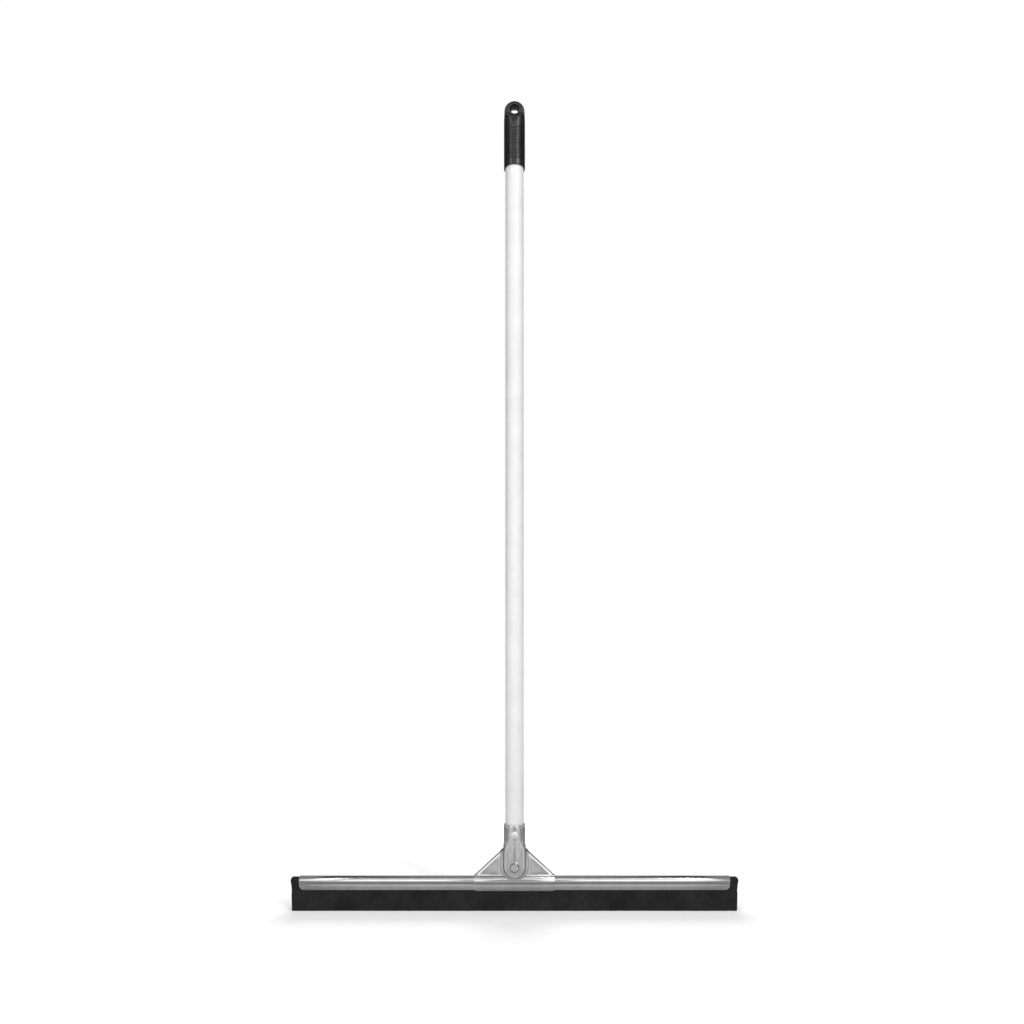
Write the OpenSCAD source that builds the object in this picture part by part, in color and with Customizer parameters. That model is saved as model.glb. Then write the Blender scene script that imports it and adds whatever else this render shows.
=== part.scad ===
// Floor squeegee: a folded rubber blade with two lips in a rolled steel channel, a pressed steel
// bracket in two half shells, a riveted swivel, a rolled handle socket, a tube pole and a ribbed
// grip with a hanging eye.
// Millimetres, +Z up, front towards -Y, blade along X.
// The origin lies on the floor under the middle of the blade.

/* [Blade] */
// Length of the rubber blade along its upper edge
blade_length = 610; // [450:5:900]
// How much shorter each end of the blade is at the floor
blade_end_slant = 4.5; // [0:0.5:8]
// Free height of the rubber below the channel
blade_reach = 26; // [18:0.5:40]
// Thickness of one lip at the floor
lip_thickness = 7; // [4:0.1:8]
// Width over both lips at the floor
lip_spread = 25; // [16.5:0.5:28]
// How far below the channel the squeezed rubber is back to its full thickness
lip_swell = 5; // [2:0.5:12]
// Radius of the upper end corners of the rubber
blade_top_corner = 5; // [1:0.5:8]
// Radius of the floor end corners of the rubber
blade_floor_corner = 2; // [0.5:0.5:5]
// Diameter of the steel rod that the rubber is folded around
rod_diameter = 4; // [2:0.5:6]
// How far the rod stops short of each end of the blade
rod_inset = 4; // [2:1:40]

/* [Channel] */
// How far the rubber stands out past each end of the channel
blade_overhang = 12; // [6:1:30]
// Sheet thickness of the channel
channel_sheet = 1; // [0.6:0.1:1.4]
// Outer diameter of the round bead along the top of the channel
bead_diameter = 12.4; // [11.6:0.2:16]
// Height of the bead's centre above the lower edge of the skirts
bead_rise = 12; // [10:0.5:18]
// Outer width at the pinch below the bead
waist_width = 10.2; // [9:0.2:11]
// Outer width over the lower edges of the skirts
skirt_width = 11.2; // [10.8:0.1:15]
// Radius of the lower end corners of the skirts
channel_corner = 6.8; // [2:0.2:9]

/* [Bracket] */
// Width of the bracket along the channel
bracket_width = 110; // [100:1:160]
// Sheet thickness of the bracket shells
bracket_sheet = 1.2; // [0.8:0.1:1.4]
// Thickness over the two wings
wing_depth = 6; // [5:0.5:9]
// Thickness over the two pressed-in panels
panel_depth = 2.6; // [2.2:0.1:4]
// Thickness over the two raised pads at the pivot
pad_depth = 14; // [12:0.5:18]
// Width of the raised pads
pad_width = 34; // [32:0.5:38]
// Radius of the wings' rounded top about the pivot
wing_radius = 28; // [26:0.5:31]
// Width of the rim left around each pressed-in panel
panel_rim = 3.8; // [2.5:0.1:5]
// Corner radius of the pressed-in panels
panel_corner = 2; // [0.5:0.1:2.5]
// Radius of the hollow between the wings and the bead
saddle_fillet = 2.5; // [1:0.1:4]
// How far the bracket reaches below the lower edge of the channel
bracket_drop = 0.8; // [0:0.1:3]
// Radius of the bracket's lower corners
bracket_corner = 3; // [0.5:0.5:6]

/* [Pivot] */
// Height of the pivot above the bead's centre
pivot_rise = 19.7; // [18:0.1:26]
// Outer diameter of the bush that the bracket turns on
bush_diameter = 10; // [8:0.5:13]
// Diameter of the rivet's shank
rivet_diameter = 6; // [4:0.5:7]
// Diameter of the rivet's domed heads
rivet_head_diameter = 9.8; // [8:0.2:13]
// Height of the rivet's domed heads
rivet_head_height = 2.2; // [1.4:0.1:3.5]
// Diameter of the washers under the rivet's heads
washer_diameter = 15.4; // [14:0.2:20]
// Thickness of the washers under the rivet's heads
washer_thickness = 1; // [0.6:0.1:2]
// Diameter of the thrust washers between the pads and the cheeks
spacer_diameter = 22; // [16:0.5:23]
// Thickness of the thrust washers
spacer_thickness = 1.5; // [1:0.1:2.5]

/* [Socket] */
// Sheet thickness of the socket
socket_sheet = 1.5; // [1:0.1:2]
// Height of the socket's mouth above the pivot
socket_rise = 57.3; // [52:0.1:90]
// Height of the pole's seat above the pivot
seat_rise = 33.3; // [32:0.1:40]
// Height above the pivot where the cheeks reach their full width
shoulder_rise = 27.3; // [24:0.1:28]
// Height above the pivot where the cheeks turn flat
flat_rise = 9.5; // [8.5:0.1:20]
// Width of the cheeks between the shoulder and the flat
cheek_width = 30.4; // [29:0.2:31]
// Radius of the cheeks' rounded ends about the pivot
cheek_radius = 15.5; // [15:0.1:17]
// How far the neck is drawn in below the tube, as a ledge under the pole
neck_ledge = 0.4; // [0.3:0.05:0.6]
// Width of the open seam on the socket's side
seam_width = 0.8; // [0.2:0.1:2]

/* [Screw] */
// Height of the screw above the pivot
screw_rise = 45; // [40:0.5:50]
// Diameter of the screw's shank
screw_diameter = 4.8; // [3:0.1:6]
// Length of the screw's shank with its point
screw_length = 18; // [12:0.5:24]
// Diameter of the screw's head
screw_head_diameter = 10.2; // [8:0.2:13]
// Height of the screw's head
screw_head_height = 3.4; // [2.6:0.1:5]
// Height of the straight side of the screw's head
screw_head_side = 1; // [0.4:0.1:2]
// Length of each slot of the cross recess
recess_length = 5.6; // [4:0.1:7]
// Width of each slot of the cross recess
recess_width = 1.3; // [0.8:0.1:2]
// Depth of the cross recess
recess_depth = 1.8; // [1:0.1:2.4]

/* [Pole] */
// Outer diameter of the pole
pole_diameter = 25; // [24:0.1:26]
// Wall of the pole
pole_wall = 1; // [0.6:0.1:2]
// Length of the pole
pole_length = 973; // [600:1:1800]
// Length of the plug in the pole's foot
plug_length = 22; // [18:0.5:60]

/* [Grip] */
// Length of the grip
grip_length = 90.5; // [86:0.5:160]
// Diameter of the grip over its ribs
grip_diameter = 28.7; // [28.4:0.1:36]
// How far the pole reaches into the grip
grip_overlap = 56; // [50:0.5:60]
// Thickness of the grip above the end of the pole, below the shoulder
sleeve_cap = 1.5; // [1:0.1:4]
// Width of the hanging eye
eye_width = 27.3; // [24:0.1:28.2]
// Thickness of the hanging eye
eye_thickness = 13; // [8:0.5:18]
// Height of the shoulder between the round grip and the flat eye
eye_shoulder = 14; // [6:0.5:16]
// Radius of the eye's upper edges
eye_edge = 3; // [0.5:0.5:4]
// Diameter of the hanging hole
hole_diameter = 12.7; // [8:0.1:14]
// Distance of the hanging hole's centre below the top of the grip
hole_drop = 11.5; // [11:0.5:15]
// Width of the bevel around the hanging hole
hole_bevel = 1.2; // [0.4:0.1:1.5]
// Number of ribs around the grip
rib_count = 20; // [4:1:20]
// Distance from rib to rib
rib_pitch = 2.2; // [1.6:0.1:2.2]
// Depth of the grooves between the ribs
rib_depth = 0.5; // [0.2:0.1:0.8]
// Height of the smooth collar below the ribs
collar_height = 7; // [4:0.5:9]

/* [Fits] */
// Radial gap where one piece turns or slides on another
running_gap = 0.05; // [0.02:0.01:0.1]
// Gap between fixed pieces that seat on each other
seat_gap = 0.1; // [0.05:0.01:0.2]
// Gap between faces that pass each other when the handle swivels
swivel_gap = 0.3; // [0.2:0.05:0.6]
// Radial gap between the pole and the socket
pole_gap = 0.2; // [0.05:0.05:0.4]
// Gap between the rubber and the channel
rubber_gap = 0.15; // [0.05:0.05:0.4]

/* [Hidden] */
$fn = 96;

// Overlap that makes a cut or a join run clean
cut = 1;
// Points on each rounded corner of an outline
corner_steps = 8;

// Heights of the head
skirt_z = blade_reach;
bead_z = skirt_z + bead_rise;
bead_radius = bead_diameter / 2;
waist_z = bead_z - sqrt(pow(bead_radius, 2) - pow(waist_width / 2, 2));
channel_length = blade_length - 2 * blade_overhang;
channel_top = bead_z + bead_radius;
pivot_z = bead_z + pivot_rise;

// Rubber profile
bulb_radius = bead_radius - channel_sheet - rubber_gap;
rubber_top = bead_z + bulb_radius;
neck_half = waist_width / 2 - channel_sheet - rubber_gap;
mouth_half = skirt_width / 2 - channel_sheet - rubber_gap;
swell_z = skirt_z - lip_swell;
lip_lean = (lip_spread / 2 - mouth_half) / (skirt_z + lip_swell);
swell_half = lip_spread / 2 - swell_z * lip_lean;

// Bracket
saddle_radius = bead_radius + seat_gap;
saddle_outer = saddle_radius + bracket_sheet;
wing_half = wing_depth / 2;
panel_half = panel_depth / 2;
pad_half = pad_depth / 2;
fillet_y = wing_half + saddle_fillet;
fillet_z = bead_z + sqrt(pow(saddle_outer + saddle_fillet, 2) - pow(fillet_y, 2));
wing_foot_z = bead_z + sqrt(pow(saddle_outer, 2) - pow(wing_half, 2));
// Corner of the wing's slanted edge, measured from the pivot
wing_corner = [bracket_width / 2, wing_foot_z - pivot_z];
// Direction square to the slanted edge
slant = atan2(wing_corner.y, wing_corner.x) + acos(wing_radius / norm(wing_corner));
panel_x = pad_width / 2 + panel_rim;
panel_foot = fillet_z - pivot_z + bracket_sheet;

// Socket
cheek_edge = pad_half + swivel_gap;
cheek_inner = cheek_edge + spacer_thickness;
cheek_outer = cheek_inner + socket_sheet;
socket_bore = pole_diameter / 2 + pole_gap;
socket_radius = socket_bore + socket_sheet;
seat_z = pivot_z + seat_rise;
flat_z = pivot_z + flat_rise;
shoulder_z = pivot_z + shoulder_rise;
// Farthest corner of the raised pads from the pivot
pad_reach = norm([
  pad_width / 2,
  (wing_radius - pad_width / 2 * cos(slant)) / sin(slant),
]);
mouth_z = pivot_z + socket_rise;
screw_z = pivot_z + screw_rise;

// Pole and grip
pole_foot_z = seat_z + pole_gap;
pole_top_z = pole_foot_z + pole_length;
grip_foot_z = pole_top_z - grip_overlap;
grip_top_z = grip_foot_z + grip_length;
grip_bore = pole_diameter / 2 + running_gap;
sleeve_top_z = pole_top_z + seat_gap + sleeve_cap;
eye_z = sleeve_top_z + eye_shoulder;
hole_z = grip_top_z - hole_drop;
rib_z = grip_foot_z + collar_height;

// Unit vector from one point towards another
function heading(from, to) = (to - from) / norm(to - from);
// Angle folded into the half circle either side of zero
function folded(angle) = angle - 360 * round(angle / 360);

// Points of the arc that rounds the corner at p between its neighbours
function corner_arc(before, p, after, r) =
  let (
    u = heading(p, before),
    v = heading(p, after),
    half = acos(u * v) / 2,
    centre = p + (u + v) / norm(u + v) * r / sin(half),
    foot = p + u * r / tan(half) - centre,
    tip = p + v * r / tan(half) - centre,
    start = atan2(foot.y, foot.x),
    sweep = folded(atan2(tip.y, tip.x) - start)
  )
  [
    for (i = [0 : corner_steps])
      centre + r * [cos(start + sweep * i / corner_steps), sin(start + sweep * i / corner_steps)]
  ];

// Outline with each corner rounded by its own radius, where a radius of zero keeps the corner
function rounded(points, radii) =
  let (n = len(points))
  [
    for (i = [0 : n - 1])
      each radii[i] > 0
        ? corner_arc(points[(i + n - 1) % n], points[i], points[(i + 1) % n], radii[i])
        : [points[i]]
  ];

// Outline and its mirror image, as one closed run of points
function both_sides(right) =
  concat(right, [for (i = [len(right) - 1 : -1 : 0]) [-right[i].x, right[i].y]]);

// Stretches a YZ profile along X, centred on the origin
module along_x(length) {
  rotate([90, 0, 90])
    linear_extrude(length, center = true)
      children();
}

// Stretches an XZ outline from one Y to another
module across_y(from, to) {
  translate([0, to, 0])
    rotate([90, 0, 0])
      linear_extrude(to - from)
        children();
}

// Round bar along X at height z, centred on the middle plane
module bar_x(diameter, length, z) {
  translate([0, 0, z])
    rotate([0, 90, 0])
      cylinder(d = diameter, h = length, center = true);
}

// Round bar along Y at height z
module bar_y(diameter, from, to, z) {
  translate([0, to, z])
    rotate([90, 0, 0])
      cylinder(d = diameter, h = to - from);
}

// Cap of a sphere on the plane of zero height
module dome(diameter, height) {
  ball = (pow(diameter / 2, 2) + pow(height, 2)) / (2 * height);
  intersection() {
    translate([0, 0, height - ball])
      sphere(r = ball);
    cylinder(d = diameter + cut, h = height + cut);
  }
}

// Bar with the channel's outer profile, grown by the given amount, with its skirts down to foot
module channel_bar(grow, foot, length) {
  waist = waist_width / 2 + grow;
  flare = (skirt_width - waist_width) / 2 / (waist_z - skirt_z);
  mouth = waist + flare * (waist_z - foot);
  bar_x(2 * (bead_radius + grow), length, bead_z);
  along_x(length)
    polygon(both_sides([[waist, bead_z], [waist, waist_z], [mouth, foot]]));
}

// Blade: one strip folded round the rod, with its two lips spread towards the floor

// Straight strip with its fold and its two lips
module folded_strip(length) {
  slit = rubber_gap;
  difference() {
    union() {
      bar_x(2 * bulb_radius, length, bead_z);
      along_x(length)
        polygon(both_sides([
          [neck_half, bead_z],
          [neck_half, waist_z],
          [mouth_half, skirt_z],
          [swell_half, swell_z],
          [lip_spread / 2, 0],
        ]));
    }
    bar_x(rod_diameter + 2 * running_gap, length + cut, bead_z);
    along_x(length + cut)
      polygon(both_sides([
        [slit, bead_z],
        [slit, waist_z],
        [slit * 2, skirt_z],
        [max(swell_half - lip_thickness, slit * 3), swell_z],
        [max(lip_spread / 2 - lip_thickness, slit * 4), -cut],
      ]));
  }
}

module blade_outline() {
  top = blade_length / 2;
  floor_end = top - blade_end_slant;
  polygon(rounded(
    [[floor_end, 0], [top, rubber_top], [-top, rubber_top], [-floor_end, 0]],
    [blade_floor_corner, blade_top_corner, blade_top_corner, blade_floor_corner]
  ));
}

module blade_rubber() {
  color("#262626")
    intersection() {
      folded_strip(blade_length + cut);
      across_y(-lip_spread, lip_spread)
        blade_outline();
    }
}

module blade_rod() {
  color("#9a9ea3")
    bar_x(rod_diameter, blade_length - 2 * rod_inset, bead_z);
}

// Channel: rolled sheet with a bead along the top, pinched below it, with slightly flared skirts

module channel_outline() {
  end = channel_length / 2;
  polygon(rounded(
    [[end, skirt_z], [end, channel_top + cut], [-end, channel_top + cut], [-end, skirt_z]],
    [channel_corner, 0, 0, channel_corner]
  ));
}

module blade_channel() {
  color("#b4b7ba")
    intersection() {
      difference() {
        channel_bar(0, skirt_z, channel_length + cut);
        channel_bar(-channel_sheet, skirt_z - cut, channel_length + 2 * cut);
      }
      across_y(-skirt_width, skirt_width)
        channel_outline();
    }
}

// Bracket: two pressed half shells over the channel, with wings up to the pivot

// Outline of the wings about the pivot, drawn in by inset from its slanted and round edges
module wing_outline(inset) {
  r = wing_radius - inset;
  side = wing_corner.x;
  foot = bead_z - pivot_z;
  circle(r = r);
  polygon(both_sides([
    [side, foot],
    [side, (r - side * cos(slant)) / sin(slant)],
    [r * cos(slant), r * sin(slant)],
  ]));
}

// Outline of the raised pad about the pivot: round below, open to the top edge of the wings
module pad_outline(inset) {
  half = pad_width / 2 - inset;
  intersection() {
    wing_outline(inset);
    union() {
      circle(r = half);
      translate([-half, 0])
        square([2 * half, wing_radius + cut]);
    }
  }
}

// Outline of the right-hand pressed-in panel about the pivot, grown by the given amount
module panel_outline(grow) {
  reach = wing_radius - panel_rim + grow;
  x = panel_x - grow;
  foot = panel_foot - grow;
  polygon(rounded(
    [
      [x, foot],
      [(reach - foot * sin(slant)) / cos(slant), foot],
      [x, (reach - x * cos(slant)) / sin(slant)],
    ],
    [panel_corner, panel_corner, panel_corner]
  ));
}

module both_panels(grow) {
  panel_outline(grow);
  mirror([1, 0])
    panel_outline(grow);
}

// Hollow between the wings and the bead, with the given fillet radius
module saddle_hollow(radius) {
  difference() {
    polygon([[0, bead_z], [0, fillet_z], [fillet_y, fillet_z]]);
    translate([fillet_y, fillet_z])
      circle(r = radius);
  }
}

// Lower outline of the bracket, with its rounded corners
module saddle_outline() {
  end = bracket_width / 2;
  foot = skirt_z - bracket_drop;
  polygon(rounded(
    [[end, foot], [end, pivot_z], [-end, pivot_z], [-end, foot]],
    [bracket_corner, 0, 0, bracket_corner]
  ));
}

// Everything up to the shell's outer face, from the middle plane towards +Y
module shell_outer() {
  translate([0, 0, pivot_z]) {
    across_y(0, wing_half)
      wing_outline(0);
    across_y(0, pad_half)
      pad_outline(0);
  }
  intersection() {
    channel_bar(seat_gap + bracket_sheet, skirt_z - bracket_drop, bracket_width + cut);
    across_y(0, skirt_width)
      saddle_outline();
  }
  intersection() {
    along_x(bracket_width)
      saddle_hollow(saddle_fillet);
    translate([0, 0, pivot_z])
      across_y(0, fillet_y)
        wing_outline(0);
  }
}

// The space inside the shell, from the middle plane towards +Y
module shell_inner() {
  translate([0, 0, pivot_z]) {
    across_y(-cut, pad_half - bracket_sheet)
      pad_outline(bracket_sheet);
    difference() {
      across_y(-cut, wing_half - bracket_sheet)
        wing_outline(bracket_sheet);
      across_y(-2 * cut, wing_half)
        both_panels(bracket_sheet);
    }
    across_y(panel_half, pad_half + cut)
      both_panels(0);
  }
  channel_bar(seat_gap, skirt_z - bracket_drop - cut, bracket_width + 2 * cut);
  along_x(bracket_width + cut)
    saddle_hollow(saddle_fillet + bracket_sheet);
}

module bracket_shell() {
  difference() {
    shell_outer();
    shell_inner();
    bar_y(bush_diameter + 2 * running_gap, -cut, pad_half + cut, pivot_z);
    translate([-bracket_width, -bracket_width, 0])
      cube([2 * bracket_width, bracket_width + seat_gap / 2, 2 * pivot_z]);
  }
}

module bracket_front() {
  color("#aeb1b4")
    mirror([0, 1, 0])
      bracket_shell();
}

module bracket_rear() {
  color("#aeb1b4")
    bracket_shell();
}

// Pivot: a bush through both shells, held between the cheeks by a rivet

module pivot_bush() {
  color("#8f9397")
    difference() {
      bar_y(bush_diameter, -cheek_inner, cheek_inner, pivot_z);
      bar_y(rivet_diameter + 2 * running_gap, -cheek_inner - cut, cheek_inner + cut, pivot_z);
    }
}

module pivot_rivet() {
  seat = cheek_outer + washer_thickness;
  color("#c3c6c8") {
    bar_y(rivet_diameter, -seat - cut / 2, seat + cut / 2, pivot_z);
    for (side = [-1, 1])
      translate([0, side * seat, pivot_z])
        rotate([-90 * side, 0, 0])
          dome(rivet_head_diameter, rivet_head_height);
  }
}

module pivot_washers() {
  color("#a7abaf")
    for (side = [-1, 1])
      translate([0, side * cheek_outer, pivot_z])
        rotate([-90 * side, 0, 0])
          difference() {
            cylinder(
              d1 = washer_diameter,
              d2 = washer_diameter - washer_thickness,
              h = washer_thickness
            );
            translate([0, 0, -cut])
              cylinder(d = rivet_diameter + 2 * running_gap, h = washer_thickness + 2 * cut);
          }
}

module pivot_spacers() {
  color("#d8d8d4")
    for (side = [-1, 1])
      translate([0, side * cheek_edge, pivot_z])
        rotate([-90 * side, 0, 0])
          difference() {
            cylinder(d = spacer_diameter, h = spacer_thickness);
            translate([0, 0, -cut])
              cylinder(d = bush_diameter + 2 * running_gap, h = spacer_thickness + 2 * cut);
          }
}

// Socket: a rolled tube for the pole that runs down into two rimmed cheeks

// Half depths of the cheeks' rim with how far the outline is drawn in at each
function rim_steps(depth) =
  let (rim = depth - cheek_edge)
  [[depth - 0.8 * rim, 0], [depth - 0.25 * rim, 0.25 * rim], [depth, 0.8 * rim]];

// Flat slab under height z, centred on the pole's axis
module slab(width, depth, z) {
  translate([-width / 2, -depth / 2, z - cut])
    cube([width, depth, cut]);
}

// Closed form of the flat cheeks, drawn in by inset
module cheek_form(inset, depth) {
  hull()
    for (step = rim_steps(depth)) {
      translate([0, 0, pivot_z])
        rotate([90, 0, 0])
          cylinder(r = cheek_radius - inset - step[1], h = 2 * step[0], center = true, $fn = 64);
      slab(cheek_width - 2 * (inset + step[1]), 2 * step[0], flat_z);
    }
}

// Closed form of the neck between the flat cheeks and the round tube, drawn in by inset
module neck_form(inset, depth, tube) {
  hull() {
    for (step = rim_steps(depth))
      slab(cheek_width - 2 * (inset + step[1]), 2 * step[0], flat_z);
    slab(cheek_width - 2 * inset, 2 * (cheek_edge - inset) + socket_sheet, shoulder_z);
    translate([0, 0, seat_z])
      cylinder(r = tube - neck_ledge, h = cut / 10);
  }
}

// Slot between the cheeks, wide around the pads and narrow above them around the wings
module cheek_slot() {
  wide = 2 * cheek_edge;
  narrow = wing_depth + 2 * swivel_gap;
  reach = cheek_radius + cut;
  translate([-reach, -wide / 2, 0])
    cube([2 * reach, wide, pivot_z + pad_reach + swivel_gap]);
  translate([-reach, -narrow / 2, 0])
    cube([2 * reach, narrow, seat_z]);
}

module handle_socket() {
  color("#a9adb0")
    difference() {
      union() {
        translate([0, 0, seat_z])
          cylinder(r = socket_radius, h = socket_rise - seat_rise);
        neck_form(0, cheek_outer, socket_radius);
        cheek_form(0, cheek_outer);
      }
      translate([0, 0, seat_z])
        cylinder(r = socket_bore, h = socket_rise);
      neck_form(socket_sheet, cheek_inner, socket_bore);
      cheek_form(socket_sheet, cheek_inner);
      cheek_slot();
      translate([0, -seam_width / 2, seat_z - cut])
        cube([socket_radius + cut, seam_width, socket_rise]);
      bar_y(rivet_diameter + 2 * running_gap, -socket_radius, socket_radius, pivot_z);
      bar_y(screw_diameter + 2 * seat_gap, -socket_radius - cut, 0, screw_z);
    }
}

// Screw: pan head with a cross recess, driven through the socket and the pole into the plug
module handle_screw() {
  tip = screw_diameter;
  color("#d0d2d4")
    translate([0, -socket_radius, screw_z])
      rotate([90, 0, 0])
        difference() {
          union() {
            translate([0, 0, screw_head_side])
              dome(screw_head_diameter, screw_head_height - screw_head_side);
            cylinder(d = screw_head_diameter, h = screw_head_side);
            translate([0, 0, tip - screw_length])
              cylinder(d = screw_diameter, h = screw_length - tip + cut / 2);
            translate([0, 0, -screw_length])
              cylinder(d1 = 0.2, d2 = screw_diameter, h = tip);
          }
          for (turn = [0, 90])
            rotate([0, 0, turn])
              translate([0, 0, screw_head_height])
                cube([recess_length, recess_width, 2 * recess_depth], center = true);
        }
}

// Pole and the plug in its foot

module pole() {
  color("#f2f2f0")
    difference() {
      translate([0, 0, pole_foot_z])
        cylinder(d = pole_diameter, h = pole_length);
      translate([0, 0, pole_foot_z - cut])
        cylinder(d = pole_diameter - 2 * pole_wall, h = pole_length + 2 * cut);
      bar_y(screw_diameter + 2 * running_gap, -pole_diameter, 0, screw_z);
    }
}

module pole_plug() {
  color("#3a3a3a")
    difference() {
      translate([0, 0, pole_foot_z])
        cylinder(d = pole_diameter - 2 * (pole_wall + running_gap), h = plug_length);
      bar_y(
        screw_diameter + 2 * running_gap,
        -pole_diameter,
        screw_length - socket_radius + running_gap,
        screw_z
      );
    }
}

// Grip: ribbed sleeve over the pole, flattened at the top into a hanging eye

module grip_sleeve() {
  r = grip_diameter / 2;
  groove = r - rib_depth;
  rotate_extrude()
    polygon(concat(
      [[0, grip_foot_z], [r, grip_foot_z], [r, rib_z]],
      [
        for (i = [0 : rib_count - 1])
          each [
            [groove, rib_z + (i + 0.2) * rib_pitch],
            [groove, rib_z + (i + 0.4) * rib_pitch],
            [r, rib_z + (i + 0.6) * rib_pitch],
            [r, rib_z + (i + 1) * rib_pitch],
          ],
      ],
      [[r, grip_top_z], [0, grip_top_z]]
    ));
}

// Outline of the grip from the front, with its round top
module eye_front() {
  half = eye_width / 2;
  translate([0, grip_top_z - half])
    circle(r = half);
  polygon(both_sides([
    [grip_diameter, grip_foot_z - cut],
    [grip_diameter, sleeve_top_z],
    [grip_diameter / 2, sleeve_top_z],
    [half, grip_top_z - half],
  ]));
}

// Outline of the grip from the side, drawn in to the thin eye
module eye_side() {
  half = eye_thickness / 2;
  polygon(rounded(
    both_sides([
      [grip_diameter, grip_foot_z - cut],
      [grip_diameter, sleeve_top_z],
      [grip_diameter / 2, sleeve_top_z],
      [half, eye_z],
      [half, grip_top_z],
    ]),
    [0, 0, 0, eye_edge, eye_edge, eye_edge, eye_edge, 0, 0, 0]
  ));
}

module grip() {
  color("#2b2b2b")
    difference() {
      intersection() {
        grip_sleeve();
        across_y(-grip_diameter, grip_diameter)
          eye_front();
        along_x(2 * grip_diameter)
          eye_side();
      }
      translate([0, 0, grip_foot_z - cut])
        cylinder(r = grip_bore, h = grip_overlap + seat_gap + cut);
      bar_y(hole_diameter, -grip_diameter, grip_diameter, hole_z);
      for (side = [-1, 1])
        translate([0, side * eye_thickness / 2, hole_z])
          rotate([-90 * side, 0, 0])
            translate([0, 0, -hole_bevel])
              cylinder(
                d1 = hole_diameter,
                d2 = hole_diameter + 4 * hole_bevel,
                h = 2 * hole_bevel
              );
    }
}

blade_rubber();
blade_rod();
blade_channel();
bracket_front();
bracket_rear();
pivot_bush();
pivot_rivet();
pivot_washers();
pivot_spacers();
handle_socket();
handle_screw();
pole();
pole_plug();
grip();
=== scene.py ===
"""Looks of a floor squeegee, built around its packed construction model.

Every length in the classes below is in millimetres and is turned into metres where a mesh is
made. The studio's lamps, cards and floor are in metres. The frame is the model's own: +Z up, the
front towards -Y, the blade along X, and the origin on the floor under the middle of the blade.
"""

import logging
import math
from collections.abc import Callable, Iterator, Mapping, Sequence
from contextlib import contextmanager
from dataclasses import dataclass
from enum import Enum

import bmesh
import bpy
from mathutils import Euler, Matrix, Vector


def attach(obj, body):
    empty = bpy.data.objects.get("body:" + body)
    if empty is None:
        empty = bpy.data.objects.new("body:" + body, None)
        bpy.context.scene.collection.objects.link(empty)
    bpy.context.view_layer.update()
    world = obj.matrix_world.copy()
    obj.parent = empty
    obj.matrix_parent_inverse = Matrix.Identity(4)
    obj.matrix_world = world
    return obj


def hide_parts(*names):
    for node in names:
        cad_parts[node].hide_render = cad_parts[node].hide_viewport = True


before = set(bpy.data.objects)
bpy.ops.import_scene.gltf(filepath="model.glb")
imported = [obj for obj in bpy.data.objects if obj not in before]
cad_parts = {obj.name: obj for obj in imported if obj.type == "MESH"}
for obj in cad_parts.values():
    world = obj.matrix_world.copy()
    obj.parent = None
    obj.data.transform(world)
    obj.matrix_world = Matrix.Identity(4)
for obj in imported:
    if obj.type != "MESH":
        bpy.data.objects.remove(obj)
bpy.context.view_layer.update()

LOG = logging.getLogger("squeegee")
# Face attribute by which a steel finish paints faces darker: the bracket's sheared edges, which lack
# zinc and carry painted shade, plus painted shade on the socket's cheek edges and above the rivet's
# head.
BARE_AND_SHADE = "bare_and_shade"

# Lengths that several pieces share: one millimetre, what counts as the same place, how far a form
# runs past its trimmed ends, how far a cutting tool runs past a form, the pivot's height and the
# outer face of the cheeks.
MM = 0.001
NEAR = 0.01
SPARE = 1.0
TOOL_RUN = 20.0
PIVOT_Z = 57.7
CHEEK_FACE = 10.3

ALONG_Y = Vector((0, 1, 0))
ALONG_Z = Vector((0, 0, 1))
FRONT_TO_REAR = Vector((1, -1, 1))

Flat = tuple[float, float]
Place = tuple[float, float, float]
Piece = bpy.types.Object
Wire = bpy.types.NodeSocket


class Plane(Enum):
    """Plane that a flat outline is drawn in, with the direction that it is stretched in."""

    FRONT = (Vector((1, 0, 0)), Vector((0, 0, 1)), Vector((0, 1, 0)))
    SIDE = (Vector((0, 1, 0)), Vector((0, 0, 1)), Vector((1, 0, 0)))

    def at(self, point: Flat, depth: float) -> Vector:
        """Gives a flat point in millimetres as a place in metres."""
        across, up, along = self.value
        return (across * point[0] + up * point[1] + along * depth) * MM


class Body(Enum):
    """Body of the model that a piece rides on."""

    HEAD = "head"
    HANDLE = "handle"


class Cut(Enum):
    """Way in which one solid acts on another."""

    JOIN = "UNION"
    TAKE = "DIFFERENCE"
    KEEP = "INTERSECT"


# Outlines


def arc(centre: Flat, radius: float, start: float, end: float, steps: int) -> list[Flat]:
    """Gives points on an arc.

    Args:
        centre: Middle of the arc.
        radius: Radius of the arc.
        start: First angle in degrees.
        end: Last angle in degrees.
        steps: Number of chords.

    Returns:
        One point more than there are chords.
    """
    angles = [math.radians(start + (end - start) * i / steps) for i in range(steps + 1)]
    return [
        (centre[0] + radius * math.cos(a), centre[1] + radius * math.sin(a)) for a in angles
    ]


def circle(centre: Flat, radius: float, sides: int) -> list[Flat]:
    """Gives the corners of a whole circle."""
    return arc(centre, radius, 0, 360 - 360 / sides, sides - 1)


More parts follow.
